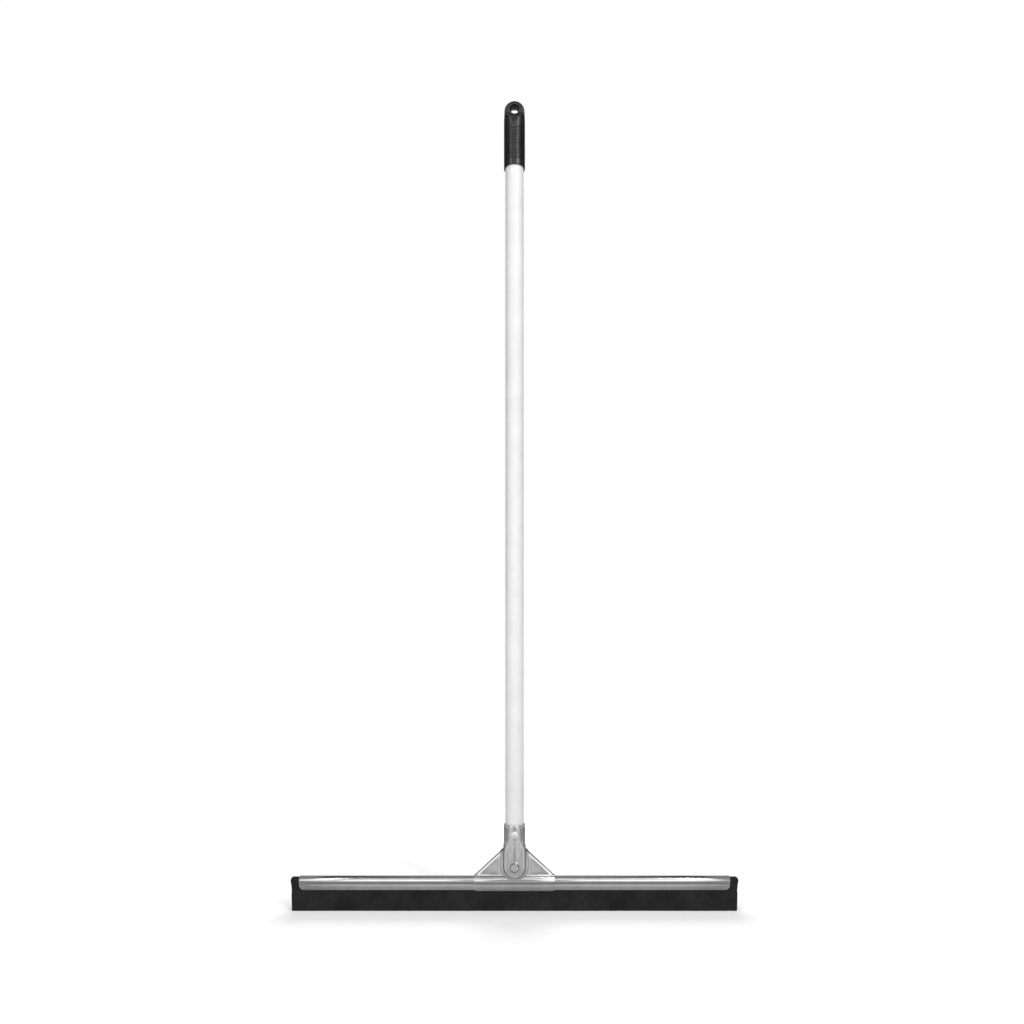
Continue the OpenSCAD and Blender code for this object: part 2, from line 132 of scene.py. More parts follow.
def rounded(corners: Sequence[Place], steps: int = 6) -> list[Flat]:
    """Rounds the corners of a closed outline.

    Args:
        corners: Across, up and corner radius of each corner, where zero keeps it sharp.
        steps: Chords in each rounded corner.

    Returns:
        The outline's points in order.
    """
    points: list[Flat] = []
    count = len(corners)
    for i, (x, y, radius) in enumerate(corners):
        here = Vector((x, y))
        back = (Vector(corners[i - 1][:2]) - here).normalized()
        ahead = (Vector(corners[(i + 1) % count][:2]) - here).normalized()
        half = back.angle(ahead) / 2
        if radius <= 0 or math.pi / 2 - half < 1e-3:
            points.append((x, y))
            continue
        centre = here + (back + ahead).normalized() * (radius / math.sin(half))
        first = here + back * (radius / math.tan(half)) - centre
        last = here + ahead * (radius / math.tan(half)) - centre
        turn = first.angle_signed(last)
        start = math.atan2(first.y, first.x)
        points += arc(
            tuple(centre), radius, math.degrees(start), math.degrees(start - turn), steps
        )
    return points


def mirrored(right: Sequence[tuple[float, ...]]) -> list[tuple[float, ...]]:
    """Follows an outline's right half with its mirror image, as one closed run of points."""
    return list(right) + [(-x, *rest) for x, *rest in reversed(right)]


def two_faced(rear: Sequence[Flat]) -> list[Flat]:
    """Follows a turned profile's rear half with its mirror image in front of the middle."""
    return list(rear) + [(radius, -depth) for radius, depth in reversed(rear)]


# Work on a mesh, step by step


def take_up(piece: Piece) -> None:
    """Selects one object alone and makes it the active one.

    Args:
        piece: Object to work on.
    """
    bpy.ops.object.select_all(action="DESELECT")
    piece.select_set(True)
    bpy.context.view_layer.objects.active = piece


def added(name: str, operator: Callable[..., object], **settings: object) -> Piece:
    """Adds a primitive, a lamp or a camera while nothing else is selected.

    Args:
        name: Name of the new object.
        operator: Operator that adds it.
        settings: Settings of the operator.

    Returns:
        The new object.
    """
    bpy.ops.object.select_all(action="DESELECT")
    operator(**settings)
    piece = bpy.context.active_object
    piece.name = name
    return piece


@contextmanager
def editing(piece: Piece) -> Iterator[None]:
    """Opens a piece in edit mode with all of it selected, and closes it afterwards.

    Args:
        piece: Object to open.

    Yields:
        Nothing, while the piece is open.
    """
    take_up(piece)
    bpy.ops.object.mode_set(mode="EDIT")
    bpy.ops.mesh.select_mode(type="VERT")
    bpy.ops.mesh.select_all(action="SELECT")
    yield
    bpy.ops.object.mode_set(mode="OBJECT")


@contextmanager
def open_mesh(piece: Piece) -> Iterator[bmesh.types.BMesh]:
    """Gives the mesh of a piece that is in edit mode, and hands its changes back.

    Args:
        piece: Object in edit mode.

    Yields:
        The mesh.
    """
    mesh = bmesh.from_edit_mesh(piece.data)
    yield mesh
    bmesh.update_edit_mesh(piece.data)


def mend(piece: Piece, reach: float = 0.002) -> None:
    """Merges doubled points and turns all faces outwards.

    Args:
        piece: Object to mend.
        reach: Farthest distance in millimetres between points that are merged.
    """
    with editing(piece):
        bpy.ops.mesh.remove_doubles(threshold=reach * MM)
        bpy.ops.mesh.normals_make_consistent(inside=False)


def bend_edges(
    piece: Piece, face: float, width: float, segments: int, above: float = -math.inf
) -> None:
    """Rounds the edges of a pressed form that lie on one of its upright faces.

    Args:
        piece: Form to round.
        face: Depth of the face in millimetres.
        width: Width of the rounding in millimetres.
        segments: Faces across the rounding.
        above: Height in millimetres that an edge has to rise above.
    """
    with editing(piece):
        bpy.ops.mesh.select_mode(type="EDGE")
        bpy.ops.mesh.select_all(action="DESELECT")
        with open_mesh(piece) as mesh:
            for edge in mesh.edges:
                places = [vertex.co / MM for vertex in edge.verts]
                flush = all(abs(place.y - face) < NEAR for place in places)
                if flush and any(place.z > above for place in places):
                    edge.select_set(True)
        bpy.ops.mesh.bevel(offset=width * MM, segments=segments, affect="EDGES")


def draw(name: str, places: Sequence[Vector]) -> Piece:
    """Draws a chain of points by extruding one point from place to place.

    Args:
        name: Name of the new object.
        places: Places in metres.

    Returns:
        The new object, at the origin.
    """
    piece = added(name, bpy.ops.mesh.primitive_plane_add, size=MM)
    with editing(piece):
        bpy.ops.mesh.merge(type="CENTER")
        bpy.ops.transform.translate(value=places[0])
        for here, there in zip(places, places[1:]):
            bpy.ops.mesh.extrude_vertices_move(TRANSFORM_OT_translate={"value": there - here})
    return piece


def prism(
    name: str, plane: Plane, outline: Sequence[Flat], start: float, end: float, steps: int = 1
) -> Piece:
    """Draws a closed outline, fills it and extrudes it into a solid.

    Args:
        name: Name of the new object.
        plane: Plane of the outline.
        outline: Points of the outline in millimetres.
        start: Depth of the first face in millimetres.
        end: Depth of the last face in millimetres.
        steps: Number of extrusions from the first face to the last.

    Returns:
        The solid.
    """
    piece = draw(name, [plane.at(point, start) for point in outline])
    step = plane.value[2] * ((end - start) * MM / steps)
    with editing(piece):
        bpy.ops.mesh.edge_face_add()
        for _ in range(steps):
            bpy.ops.mesh.extrude_region_move(TRANSFORM_OT_translate={"value": step})
    mend(piece)
    return piece


def turned(
    name: str, profile: Sequence[Vector], centre: Vector, axis: Vector, steps: int
) -> Piece:
    """Spins a drawn profile into a turned piece.

    Args:
        name: Name of the new object.
        profile: Places of the profile in metres.
        centre: A point on the axis.
        axis: Direction of the axis.
        steps: Number of sides.

    Returns:
        The turned piece.
    """
    piece = draw(name, profile)
    with editing(piece):
        bpy.ops.mesh.spin(steps=steps, angle=math.tau, center=centre, axis=axis)
    mend(piece, 0.001)
    return piece


def turned_across(name: str, points: Sequence[Flat], height: float, steps: int = 72) -> Piece:
    """Turns a piece about the line along Y at a height.

    Args:
        name: Name of the new object.
        points: Radius and depth of the profile's points in millimetres.
        height: Height of the line in millimetres.
        steps: Number of sides.

    Returns:
        The turned piece.
    """
    profile = [Vector((0, depth, height + radius)) * MM for radius, depth in points]
    return turned(name, profile, Vector((0, 0, height)) * MM, ALONG_Y, steps)


def modify(piece: Piece, kind: str, **settings: object) -> None:
    """Adds a modifier and applies it.

    Args:
        piece: Object to change.
        kind: Type of modifier.
        settings: Settings of the modifier.
    """
    take_up(piece)
    modifier = piece.modifiers.new(kind.lower(), kind)
    for key, value in settings.items():
        setattr(modifier, key, value)
    bpy.ops.object.modifier_apply(modifier=modifier.name)


def act(piece: Piece, tool: Piece, how: Cut) -> None:
    """Joins, cuts or trims a piece by another solid, which is used up."""
    modify(piece, "BOOLEAN", object=tool, operation=how.value, solver="EXACT")
    bpy.data.objects.remove(tool)


def shade(piece: Piece, angle: float = 40.0) -> None:
    """Shades a piece smooth up to the given angle between faces."""
    take_up(piece)
    bpy.ops.object.shade_smooth_by_angle(angle=math.radians(angle))


def soften(
    piece: Piece, width: float, segments: int = 2, angle: float = 40.0, smooth: float = 40.0
) -> None:
    """Rounds every edge that is sharper than an angle, and shades the piece.

    Args:
        piece: Object to soften.
        width: Width of the rounding in millimetres.
        segments: Faces across the rounding.
        angle: Smallest angle in degrees between faces that is rounded.
        smooth: Largest angle in degrees between faces that is shaded smooth.
    """
    modify(
        piece,
        "BEVEL",
        width=width * MM,
        segments=segments,
        limit_method="ANGLE",
        angle_limit=math.radians(angle),
        miter_outer="MITER_ARC",
        use_clamp_overlap=True,
    )
    shade(piece, smooth)


def copied(piece: Piece, name: str, scale: Vector) -> Piece:
    """Copies a piece with its own mesh, mirrored or scaled about the origin.

    Args:
        piece: Object to copy.
        name: Name of the copy.
        scale: Factor along each axis.

    Returns:
        The copy.
    """
    take_up(piece)
    bpy.ops.object.duplicate(linked=False)
    twin = bpy.context.active_object
    twin.name = name
    with editing(twin):
        bpy.ops.transform.resize(value=scale, center_override=(0, 0, 0))
        if scale.x * scale.y * scale.z < 0:
            bpy.ops.mesh.flip_normals()
    return twin


def merged(pieces: Sequence[Piece]) -> Piece:
    """Joins objects into the first of them.

    Args:
        pieces: Objects to join.

    Returns:
        The first object, with all of their meshes.
    """
    take_up(pieces[0])
    for piece in pieces:
        piece.select_set(True)
    bpy.ops.object.join()
    return pieces[0]


# Finishes


class Wiring:
    """Short way to add nodes to a tree and to link them."""

    def __init__(self, tree: bpy.types.NodeTree) -> None:
        """Keeps the tree that is worked on."""
        self.tree = tree
        self.column = 0

    def add(
        self, kind: str, links: Mapping[str, Wire] | None = None, **values: object
    ) -> bpy.types.Node:
        """Adds one node.

        Args:
            kind: Type of node, without the shader prefix.
            links: Sockets to link to the node's inputs, by the input's name or number.
            values: Properties of the node, or values of its inputs when it has no such property.

        Returns:
            The node.
        """
        node = self.tree.nodes.new(kind if kind.startswith("Node") else "ShaderNode" + kind)
        self.column += 1
        node.location = (180 * self.column, 0)
        for key, value in values.items():
            if hasattr(node, key):
                setattr(node, key, value)
            else:
                node.inputs[key.replace("_", " ")].default_value = value
        for key, socket in (links or {}).items():
            self.tree.links.new(socket, node.inputs[int(key) if key.isdigit() else key])
        return node

    def feed(self, node: bpy.types.Node, **sockets: Wire) -> None:
        """Links sockets to the named inputs of a node that is already there."""
        for key, socket in sockets.items():
            self.tree.links.new(socket, node.inputs[key.replace("_", " ")])

    def math(self, operation: str, first: Wire, second: Wire) -> Wire:
        """Works out one value from two."""
        return self.add("Math", {"0": first, "1": second}, operation=operation).outputs[0]

    def spread(self, value: Wire, low: float, high: float) -> Wire:
        """Stretches a value between nought and one over a range."""
        node = self.add("MapRange", {"Value": value}, To_Min=low, To_Max=high)
        return node.outputs["Result"]

    def contrast(self, value: Wire, low: float, high: float) -> Wire:
        """Stretches a range to nought and one, and cuts off what lies outside."""
        node = self.add("MapRange", {"Value": value}, clamp=True, From_Min=low, From_Max=high)
        return node.outputs["Result"]

    def shades(self, value: Wire, dark: float, light: float, tint: float = 1.0) -> Wire:
        """Mixes two greys by a value.

        Args:
            value: Socket with the value.
            dark: Grey at nought.
            light: Grey at one.
            tint: Share of blue against red, where one is neutral.

        Returns:
            The socket with the colour.
        """
        node = self.add("Mix", {"0": value}, data_type="RGBA")
        node.inputs[6].default_value = (dark, dark, dark * tint, 1)
        node.inputs[7].default_value = (light, light, light * tint, 1)
        return node.outputs[2]

    def noise(self, source: Mapping[str, Wire], size: str, detail: float, rough: float) -> Wire:
        """Adds a noise inside a group.

        Args:
            source: Sockets of the group's inputs.
            size: Name of the input that scales the noise.
            detail: Number of finer layers.
            rough: Strength of the finer layers.

        Returns:
            The socket with the noise.
        """
        links = {"Vector": source["Vector"], "Scale": source[size]}
        return self.add("TexNoise", links, Detail=detail, Roughness=rough).outputs[0]

    def cells(self, source: Mapping[str, Wire], scale: Wire) -> Wire:
        """Adds cells inside a group, as distances from their middles."""
        links = {"Vector": source["Vector"], "Scale": scale}
        return self.add("TexVoronoi", links, feature="F1").outputs["Distance"]


def blank(owner: bpy.types.Material | bpy.types.World) -> Wiring:
    """Empties the node tree of a material or of the world.

    Args:
        owner: Material or world.

    Returns:
        The wiring of the empty tree.
    """
    owner.use_nodes = True
    owner.node_tree.nodes.clear()
    return Wiring(owner.node_tree)


@dataclass(frozen=True)
class NodeGroup:
    """Shader node group that is built once and placed in several materials.

    Attributes:
        name: Name of the group.
        inputs: Values that a material may set, as they are when it doesn't.
        outputs: Names of the results.
        fill: Function that wires the inside and gives the results by name.
    """

    name: str
    inputs: dict[str, float]
    outputs: tuple[str, ...]
    fill: Callable[[Wiring, Mapping[str, Wire]], dict[str, Wire]]

    def tree(self) -> bpy.types.ShaderNodeTree:
        """Gives the group's node tree, and makes it the first time.

        Returns:
            The node tree.
        """
        found = bpy.data.node_groups.get(self.name)
        if found:
            return found
        tree = bpy.data.node_groups.new(self.name, "ShaderNodeTree")
        sockets = tree.interface
        sockets.new_socket("Vector", in_out="INPUT", socket_type="NodeSocketVector")
        for name, value in self.inputs.items():
            socket = sockets.new_socket(name, in_out="INPUT", socket_type="NodeSocketFloat")
            socket.default_value = value
        for name in self.outputs:
            sockets.new_socket(name, in_out="OUTPUT", socket_type="NodeSocketFloat")
        wires = Wiring(tree)
        results = self.fill(wires, wires.add("NodeGroupInput").outputs)
        wires.add("NodeGroupOutput", results, is_active_output=True)
        return tree

    def place(
        self, wires: Wiring, vector: Wire, **values: float
    ) -> bpy.types.bpy_prop_collection:
        """Places the group in a material and gives its outputs."""
        links = {"Vector": vector}
        return wires.add("Group", links, node_tree=self.tree(), **values).outputs


def fill_clouds(wires: Wiring, source: Mapping[str, Wire]) -> dict[str, Wire]:
    """Wires cloudy variation, with broad clouds in one mask and fine grain in the other.

    Args:
        wires: Wiring of the group.
        source: Sockets of the group's inputs.

    Returns:
        The sockets of the results by name.
    """
    broad = wires.noise(source, "Scale", 4.0, 0.55)
    fine = wires.noise(source, "Grain", 2.0, 0.6)
    return {"Mask": wires.contrast(broad, 0.3, 0.7), "Fine": fine}


def fill_cells(wires: Wiring, source: Mapping[str, Wire]) -> dict[str, Wire]:
    """Wires the cut face of cellular rubber, with pits of two sizes.

    Args:
        wires: Wiring of the group.
        source: Sockets of the group's inputs.

    Returns:
        The sockets of the results by name.
    """
    wider = wires.add("Math", {"0": source["Scale"]}, operation="MULTIPLY")
    wider.inputs[1].default_value = 0.36
    small = wires.cells(source, source["Scale"])
    pits = wires.contrast(wires.cells(source, wider.outputs[0]), 0.12, 0.34)
    return {"Height": wires.math("MULTIPLY", small, pits), "Pits": pits}


def fill_streaks(wires: Wiring, source: Mapping[str, Wire]) -> dict[str, Wire]:
    """Wires rolling marks, for a vector that is already squeezed along the marks."""
    return {"Mask": wires.noise(source, "Scale", 5.0, 0.65)}


CLOUDS = NodeGroup("cloudy_grain", {"Scale": 60.0, "Grain": 900.0}, ("Mask", "Fine"), fill_clouds)
CELLS = NodeGroup("rubber_cells", {"Scale": 700.0}, ("Height", "Pits"), fill_cells)
STREAKS = NodeGroup("rolling_marks", {"Scale": 500.0}, ("Mask",), fill_streaks)


@dataclass(frozen=True)
class Finish:
    """Finish of one kind of piece, kept under the record's slot name.

    Attributes:
        slot: Material slot of the record.
        dark: Grey of the darker spots.
        light: Grey of the lighter spots.
        smooth: Roughness of the smoother spots.
        rough: Roughness of the rougher spots.
    """

    slot: str
    dark: float
    light: float
    smooth: float
    rough: float

    def label(self) -> str:
        """Gives the material's name, which differs from that of the model's own flat one."""
        return f"{self.slot}_finish"

    def paint(self, wires: Wiring, shader: bpy.types.Node, vector: Wire) -> None:
        """Wires the finish into its shader, in each kind of finish in its own way.

        Args:
            wires: Wiring of the material.
            shader: Shader of the material.
            vector: Socket with the place on the object.
        """
        raise NotImplementedError

    def material(self) -> bpy.types.Material:
        """Gives the finish's material, and makes it the first time.

        Returns:
            The material.
        """
        found = bpy.data.materials.get(self.label())
        if found:
            return found
        material = bpy.data.materials.new(self.label())
        wires = blank(material)
        shader = wires.add("BsdfPrincipled")
        wires.add("OutputMaterial", {"Surface": shader.outputs[0]})
        self.paint(wires, shader, wires.add("TexCoord").outputs["Object"])
        return material

    def put_on(self, piece: Piece) -> None:
        """Makes this the only finish of a piece.

        Args:
            piece: Object to dress.
        """
        piece.data.materials.clear()
        piece.data.materials.append(self.material())

    def cover(
        self, wires: Wiring, shader: bpy.types.Node, tone: Wire, dull: Wire, gloss: float
    ) -> None:
        """Wires the greys and the gloss of a finish that isn't metal.

        Args:
            wires: Wiring of the material.
            shader: Shader of the material.
            tone: Socket that chooses between the greys.
            dull: Socket that chooses between the roughnesses.
            gloss: Specular level.
        """
        colour = wires.shades(tone, self.dark, self.light)
        wires.feed(shader, Base_Color=colour, Roughness=wires.spread(dull, self.smooth, self.rough))
        shader.inputs["Specular IOR Level"].default_value = gloss

    def raise_by(
        self, wires: Wiring, shader: bpy.types.Node, height: Wire, depth: float
    ) -> None:
        """Raises the surface by a height between nought and one, over a depth in millimetres."""
        node = wires.add("Bump", {"Height": height}, Strength=1.0, Distance=depth * MM)
        wires.feed(shader, Normal=node.outputs[0])


@dataclass(frozen=True)
class RolledSteel(Finish):
    """Zinc coated sheet with rolling marks along one axis.

    Attributes:
        squeeze: Factor on the coordinates, small along the marks.
        marks: Depth of the marks in millimetres.
        mark_scale: Scale of the marks.
        cloud_scale: Scale of the clouds.
        mark_share: Share of the marks against the clouds.
        tint: Share of blue against red in the zinc.
        bare_and_shade_greys: Darker and lighter grey of the marked faces, for steel without zinc and
            for painted shade.
    """

    squeeze: Place = (0.02, 1.0, 1.0)
    marks: float = 0.004
    mark_scale: float = 900.0
    cloud_scale: float = 90.0
    mark_share: float = 0.55
    tint: float = 1.01
    bare_and_shade_greys: Flat = (0.09, 0.16)

    def paint(self, wires: Wiring, shader: bpy.types.Node, vector: Wire) -> None:
        """Wires the grey, the gloss and the marks.

        Args:
            wires: Wiring of the material.
            shader: Shader of the material.
            vector: Socket with the place on the object.
        """
        along = wires.add("Mapping", {"Vector": vector}, Scale=self.squeeze).outputs[0]
        streak = STREAKS.place(wires, along, Scale=self.mark_scale)["Mask"]
        cloud = CLOUDS.place(wires, vector, Scale=self.cloud_scale)["Mask"]
        both = wires.add("Mix", {"2": cloud, "3": streak})
        both.inputs[0].default_value = self.mark_share
        mask = both.outputs[0]
        # Marked faces get the darker greys: steel without zinc, and painted shade.
        bare_and_shade_mask = wires.add("Attribute", attribute_name=BARE_AND_SHADE).outputs["Fac"]
        zinc = wires.shades(mask, self.dark, self.light, self.tint)
        greys = {"0": bare_and_shade_mask, "6": zinc, "7": wires.shades(mask, *self.bare_and_shade_greys)}
        colour = wires.add("Mix", greys, data_type="RGBA").outputs[2]
        wires.feed(shader, Base_Color=colour, Roughness=wires.spread(mask, self.smooth, self.rough))
        shader.inputs["Metallic"].default_value = 1.0
        self.raise_by(wires, shader, streak, self.marks)


@dataclass(frozen=True)
class Coating(Finish):
    """Sprayed or moulded coating with a faint orange peel.

    Attributes:
        peel: Scale of the relief.
        depth: Depth of the relief in millimetres.
        gloss: Specular level.
        cloud_scale: Scale of the clouds.
    """

    peel: float = 350.0
    depth: float = 0.02
    gloss: float = 0.5
    cloud_scale: float = 45.0

    def paint(self, wires: Wiring, shader: bpy.types.Node, vector: Wire) -> None:
        """Wires the colour, the gloss and the relief.

        Args:
            wires: Wiring of the material.
            shader: Shader of the material.
            vector: Socket with the place on the object.
        """
        cloud = CLOUDS.place(wires, vector, Scale=self.cloud_scale, Grain=self.peel)
        self.cover(wires, shader, cloud["Mask"], cloud["Mask"], self.gloss)
        self.raise_by(wires, shader, cloud["Fine"], self.depth)


@dataclass(frozen=True)
class CellRubber(Finish):
    """Black cellular rubber with open pits on its cut faces.

    Attributes:
        depth: Depth of the pits in millimetres.
        gloss: Specular level.
        cloud_scale: Scale of the clouds.
    """

    depth: float = 0.12
    gloss: float = 0.1
    cloud_scale: float = 35.0

    def paint(self, wires: Wiring, shader: bpy.types.Node, vector: Wire) -> None:
        """Wires the colour with painted shade in the pits, the dull gloss and the pits' relief.

        Args:
            wires: Wiring of the material.
            shader: Shader of the material.
            vector: Socket with the place on the object.
        """
        cells = CELLS.place(wires, vector)
        cloud = CLOUDS.place(wires, vector, Scale=self.cloud_scale)
        # The pits are painted darker as well as sunk by the bump: painted shade in the pits over the
        # clouds' tone.
        tone = wires.math("MULTIPLY", cloud["Mask"], cells["Pits"])
        self.cover(wires, shader, tone, cloud["Fine"], self.gloss)
        self.raise_by(wires, shader, cells["Height"], self.depth)


BLADE_RUBBER = CellRubber("blade_rubber", 0.009, 0.018, 0.8, 0.95)
ROD_STEEL = RolledSteel("rod_steel", 0.4, 0.5, 0.3, 0.45)
CHANNEL_STEEL = RolledSteel("channel_steel", 0.4, 0.52, 0.14, 0.22)
BRACKET_STEEL = RolledSteel("bracket_steel", 0.38, 0.5, 0.16, 0.26)
SOCKET_STEEL = RolledSteel("socket_steel", 0.42, 0.56, 0.18, 0.3, (1.0, 1.0, 0.03))
RIVET_STEEL = RolledSteel("rivet_steel", 0.52, 0.62, 0.18, 0.28, (1.0, 1.0, 1.0), 0.002)
SCREW_STEEL = RolledSteel("screw_steel", 0.64, 0.74, 0.48, 0.6, (1.0, 1.0, 1.0), 0.002)
SPACER_PLASTIC = Coating("spacer_plastic", 0.6, 0.68, 0.4, 0.5)
POLE_COATING = Coating("pole_coating", 0.58, 0.63, 0.42, 0.52)
PLUG_PLASTIC = Coating("plug_plastic", 0.03, 0.05, 0.5, 0.6)
GRIP_PLASTIC = Coating("grip_plastic", 0.005, 0.009, 0.26, 0.36, 900.0, 0.012)


def settle(piece: Piece, finish: Finish, body: Body, node: str) -> None:
    """Gives a finished piece its finish and its body, and hides the node of the model that it stands
    for.

    Args:
        piece: Finished object.
        finish: Its finish.
        body: Body that it rides on.
        node: Node of the model that it stands for.
    """
    finish.put_on(piece)
    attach(piece, body.value)
    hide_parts(node)
    LOG.info("%s: %d faces, on %s", piece.name, len(piece.data.polygons), body.value)


def dress_node(node: str, finish: Finish) -> None:
    """Gives a node of the model that stays in place a finish of its own."""
    finish.put_on(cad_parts[node])
    LOG.info("%s: kept from the model", node)


def mark_bare_and_shade(piece: Piece, share: Callable[[bpy.types.MeshPolygon], float]) -> None:
    """Marks how far each face is painted darker by the finish: steel without zinc, and painted
    shade.

    Args:
        piece: Finished object.
        share: Gives the share for a face.
    """
    bare_and_shade_mask = piece.data.attributes.new(BARE_AND_SHADE, "FLOAT", "FACE")
    for face in piece.data.polygons:
        bare_and_shade_mask.data[face.index].value = share(face)


# Sub-assemblies


@dataclass
class Blade:
    """Folded rubber blade, its rod and the rolled channel that pinches it."""

    length: float = 610.0
    end_slant: float = 4.5
    end_foot_round: float = 2.0
    end_top_round: float = 5.0
    reach: float = 26.0
    overhang: float = 12.0
    bead_z: float = 38.0
    bead: float = 6.2
    waist: float = 5.6
    sheet: float = 1.0
    skirt_form: tuple[Flat, ...] = (
        (0.0, 0.0), (-0.3, 0.03), (-0.42, 0.07), (-0.42, 0.2), (-0.42, 0.35), (-0.45, 0.5),
        (-0.5, 0.65), (-0.56, 0.8), (-0.62, 0.9), (-0.7, 1.0),
    )
    skirt_spare: float = 0.6
    corner: float = 6.8
    rubber_gap: float = 0.15
    rod_hole: float = 2.05
    lip_reach: float = 12.5
    lip: float = 7.0
    lip_corner: float = 0.7
    swell: float = 7.05
    swell_z: float = 21.0
    inner_bend: float = 4.0
    outer_bend: float = 8.0
    mouth_bend: float = 1.0
    wave_height: float = 0.5
    wave_length: float = 50.0
    channel_edge: float = 0.18
    rubber_edge: float = 0.6
    stations: int = 61

    def waist_z(self) -> float:
        """Gives the height of the pinch below the bead."""
        return self.bead_z - math.sqrt(self.bead**2 - self.waist**2)

    def pinch(self, grow: float) -> float:
        """Gives the angle at which the bead meets the skirt, so far outside the outer face."""
        return -math.degrees(math.acos((self.waist + grow) / (self.bead + grow)))

    def bead_arc(self, grow: float, start: float, end: float, steps: int) -> list[Flat]:
        """Gives an arc round the bead, so far outside the outer face."""
        return arc((0, self.bead_z), self.bead + grow, start, end, steps)

    def skirt_line(self, grow: float, foot: float) -> list[Flat]:
        """Gives the line from the bead through a groove and down to the edge of a skirt.

        Args:
            grow: How far the line lies outside the channel's own outer face.
            foot: Height of the lower edge.

        Returns:
            Points from the pinch down.
        """
        side, top = self.waist + grow, self.waist_z()
        return [(side + out, top + (foot - top) * share) for out, share in self.skirt_form]

    def shell(self, grow: float) -> list[Flat]:
        """Gives the right half of the channel's profile, from the top of the bead down."""
        skirt = self.skirt_line(grow, self.reach - self.skirt_spare)
        return self.bead_arc(grow, 90, self.pinch(grow), 22) + skirt[1:]

    def build_channel(self) -> Piece:
        """Rolls the channel and rounds its lower corners.

        Returns:
            The channel.
        """
        outer, inner = self.shell(0.0), self.shell(-self.sheet)
        ring = [(-y, z) for y, z in reversed(outer[1:])] + outer
        hollow = list(reversed(inner)) + [(-y, z) for y, z in inner[1:]]
        half = self.length / 2 - self.overhang
        ends = half + SPARE
        piece = prism("channel_rolled", Plane.SIDE, ring + hollow, -ends, ends, 8)
        right = [(half, self.reach, self.corner), (half, self.bead_z + TOOL_RUN, 0)]
        trim = rounded(mirrored(right), 8)
        act(piece, prism("channel_trim", Plane.FRONT, trim, -TOOL_RUN, TOOL_RUN), Cut.KEEP)
        soften(piece, self.channel_edge)
        return piece

    def rubber_profile(self) -> list[Flat]:
        """Gives the closed profile of the folded strip, open along the slit to the rod.

        Returns:
            The profile's points.
        """
        slit = self.rubber_gap
        inset = self.sheet + self.rubber_gap
        skirt = list(reversed(self.skirt_line(-inset, self.reach)))
        mouth = skirt[0][0]
        # The last corner only shows which way the outline leaves the mouth.
        lip_side = rounded(
            [
                (slit, self.bead_z - self.rod_hole, 0),
                (slit, self.waist_z(), 0),
                (2 * slit, self.reach, 0),
                (3 * slit, self.swell_z, self.inner_bend),
                (self.lip_reach - self.lip, 0.0, self.lip_corner),
                (self.lip_reach, 0.0, self.lip_corner),
                (self.swell, self.swell_z, self.outer_bend),
                (mouth, self.reach, self.mouth_bend),
                (mouth + 0.2, self.reach + 2.5, 0),
            ]
        )[:-1]
        dome = self.bead_arc(-inset, self.pinch(-inset), 90, 14)
        inside = math.degrees(math.asin(slit / self.rod_hole))
        bore = arc((0, self.bead_z), self.rod_hole, 270 - inside, inside - 90, 24)
        return mirrored(lip_side[1:] + skirt[1:] + dome[:-1]) + bore

    def build_rubber(self) -> Piece:
        """Extrudes the folded strip, makes its lips slightly wavy and trims its slanted ends.

        Returns:
            The rubber.
        """
        half = self.length / 2
        ends = half + 2 * SPARE
        profile = self.rubber_profile()
        piece = prism("blade_folded", Plane.SIDE, profile, -ends, ends, self.stations)
        waves = bpy.data.textures.new("lip_waves", "CLOUDS")
        waves.noise_scale = self.wave_length * MM
        waves.noise_depth = 1
        modify(
            piece,
            "DISPLACE",
            texture=waves,
            texture_coords="GLOBAL",
            direction="Y",
            mid_level=0.5,
            strength=self.wave_height * MM,
        )
        foot = (half - self.end_slant, 0.0, self.end_foot_round)
        top = (half, self.bead_z + self.bead, self.end_top_round)
        trim = rounded(mirrored([foot, top]))
        act(piece, prism("blade_trim", Plane.FRONT, trim, -TOOL_RUN, TOOL_RUN), Cut.KEEP)
        soften(piece, self.rubber_edge, 3, 50, 45)
        return piece

    def build(self) -> None:
        """Builds the blade and dresses it."""
        settle(self.build_rubber(), BLADE_RUBBER, Body.HEAD, "blade_rubber")
        settle(self.build_channel(), CHANNEL_STEEL, Body.HEAD, "blade_channel")
        dress_node("blade_rod", ROD_STEEL)


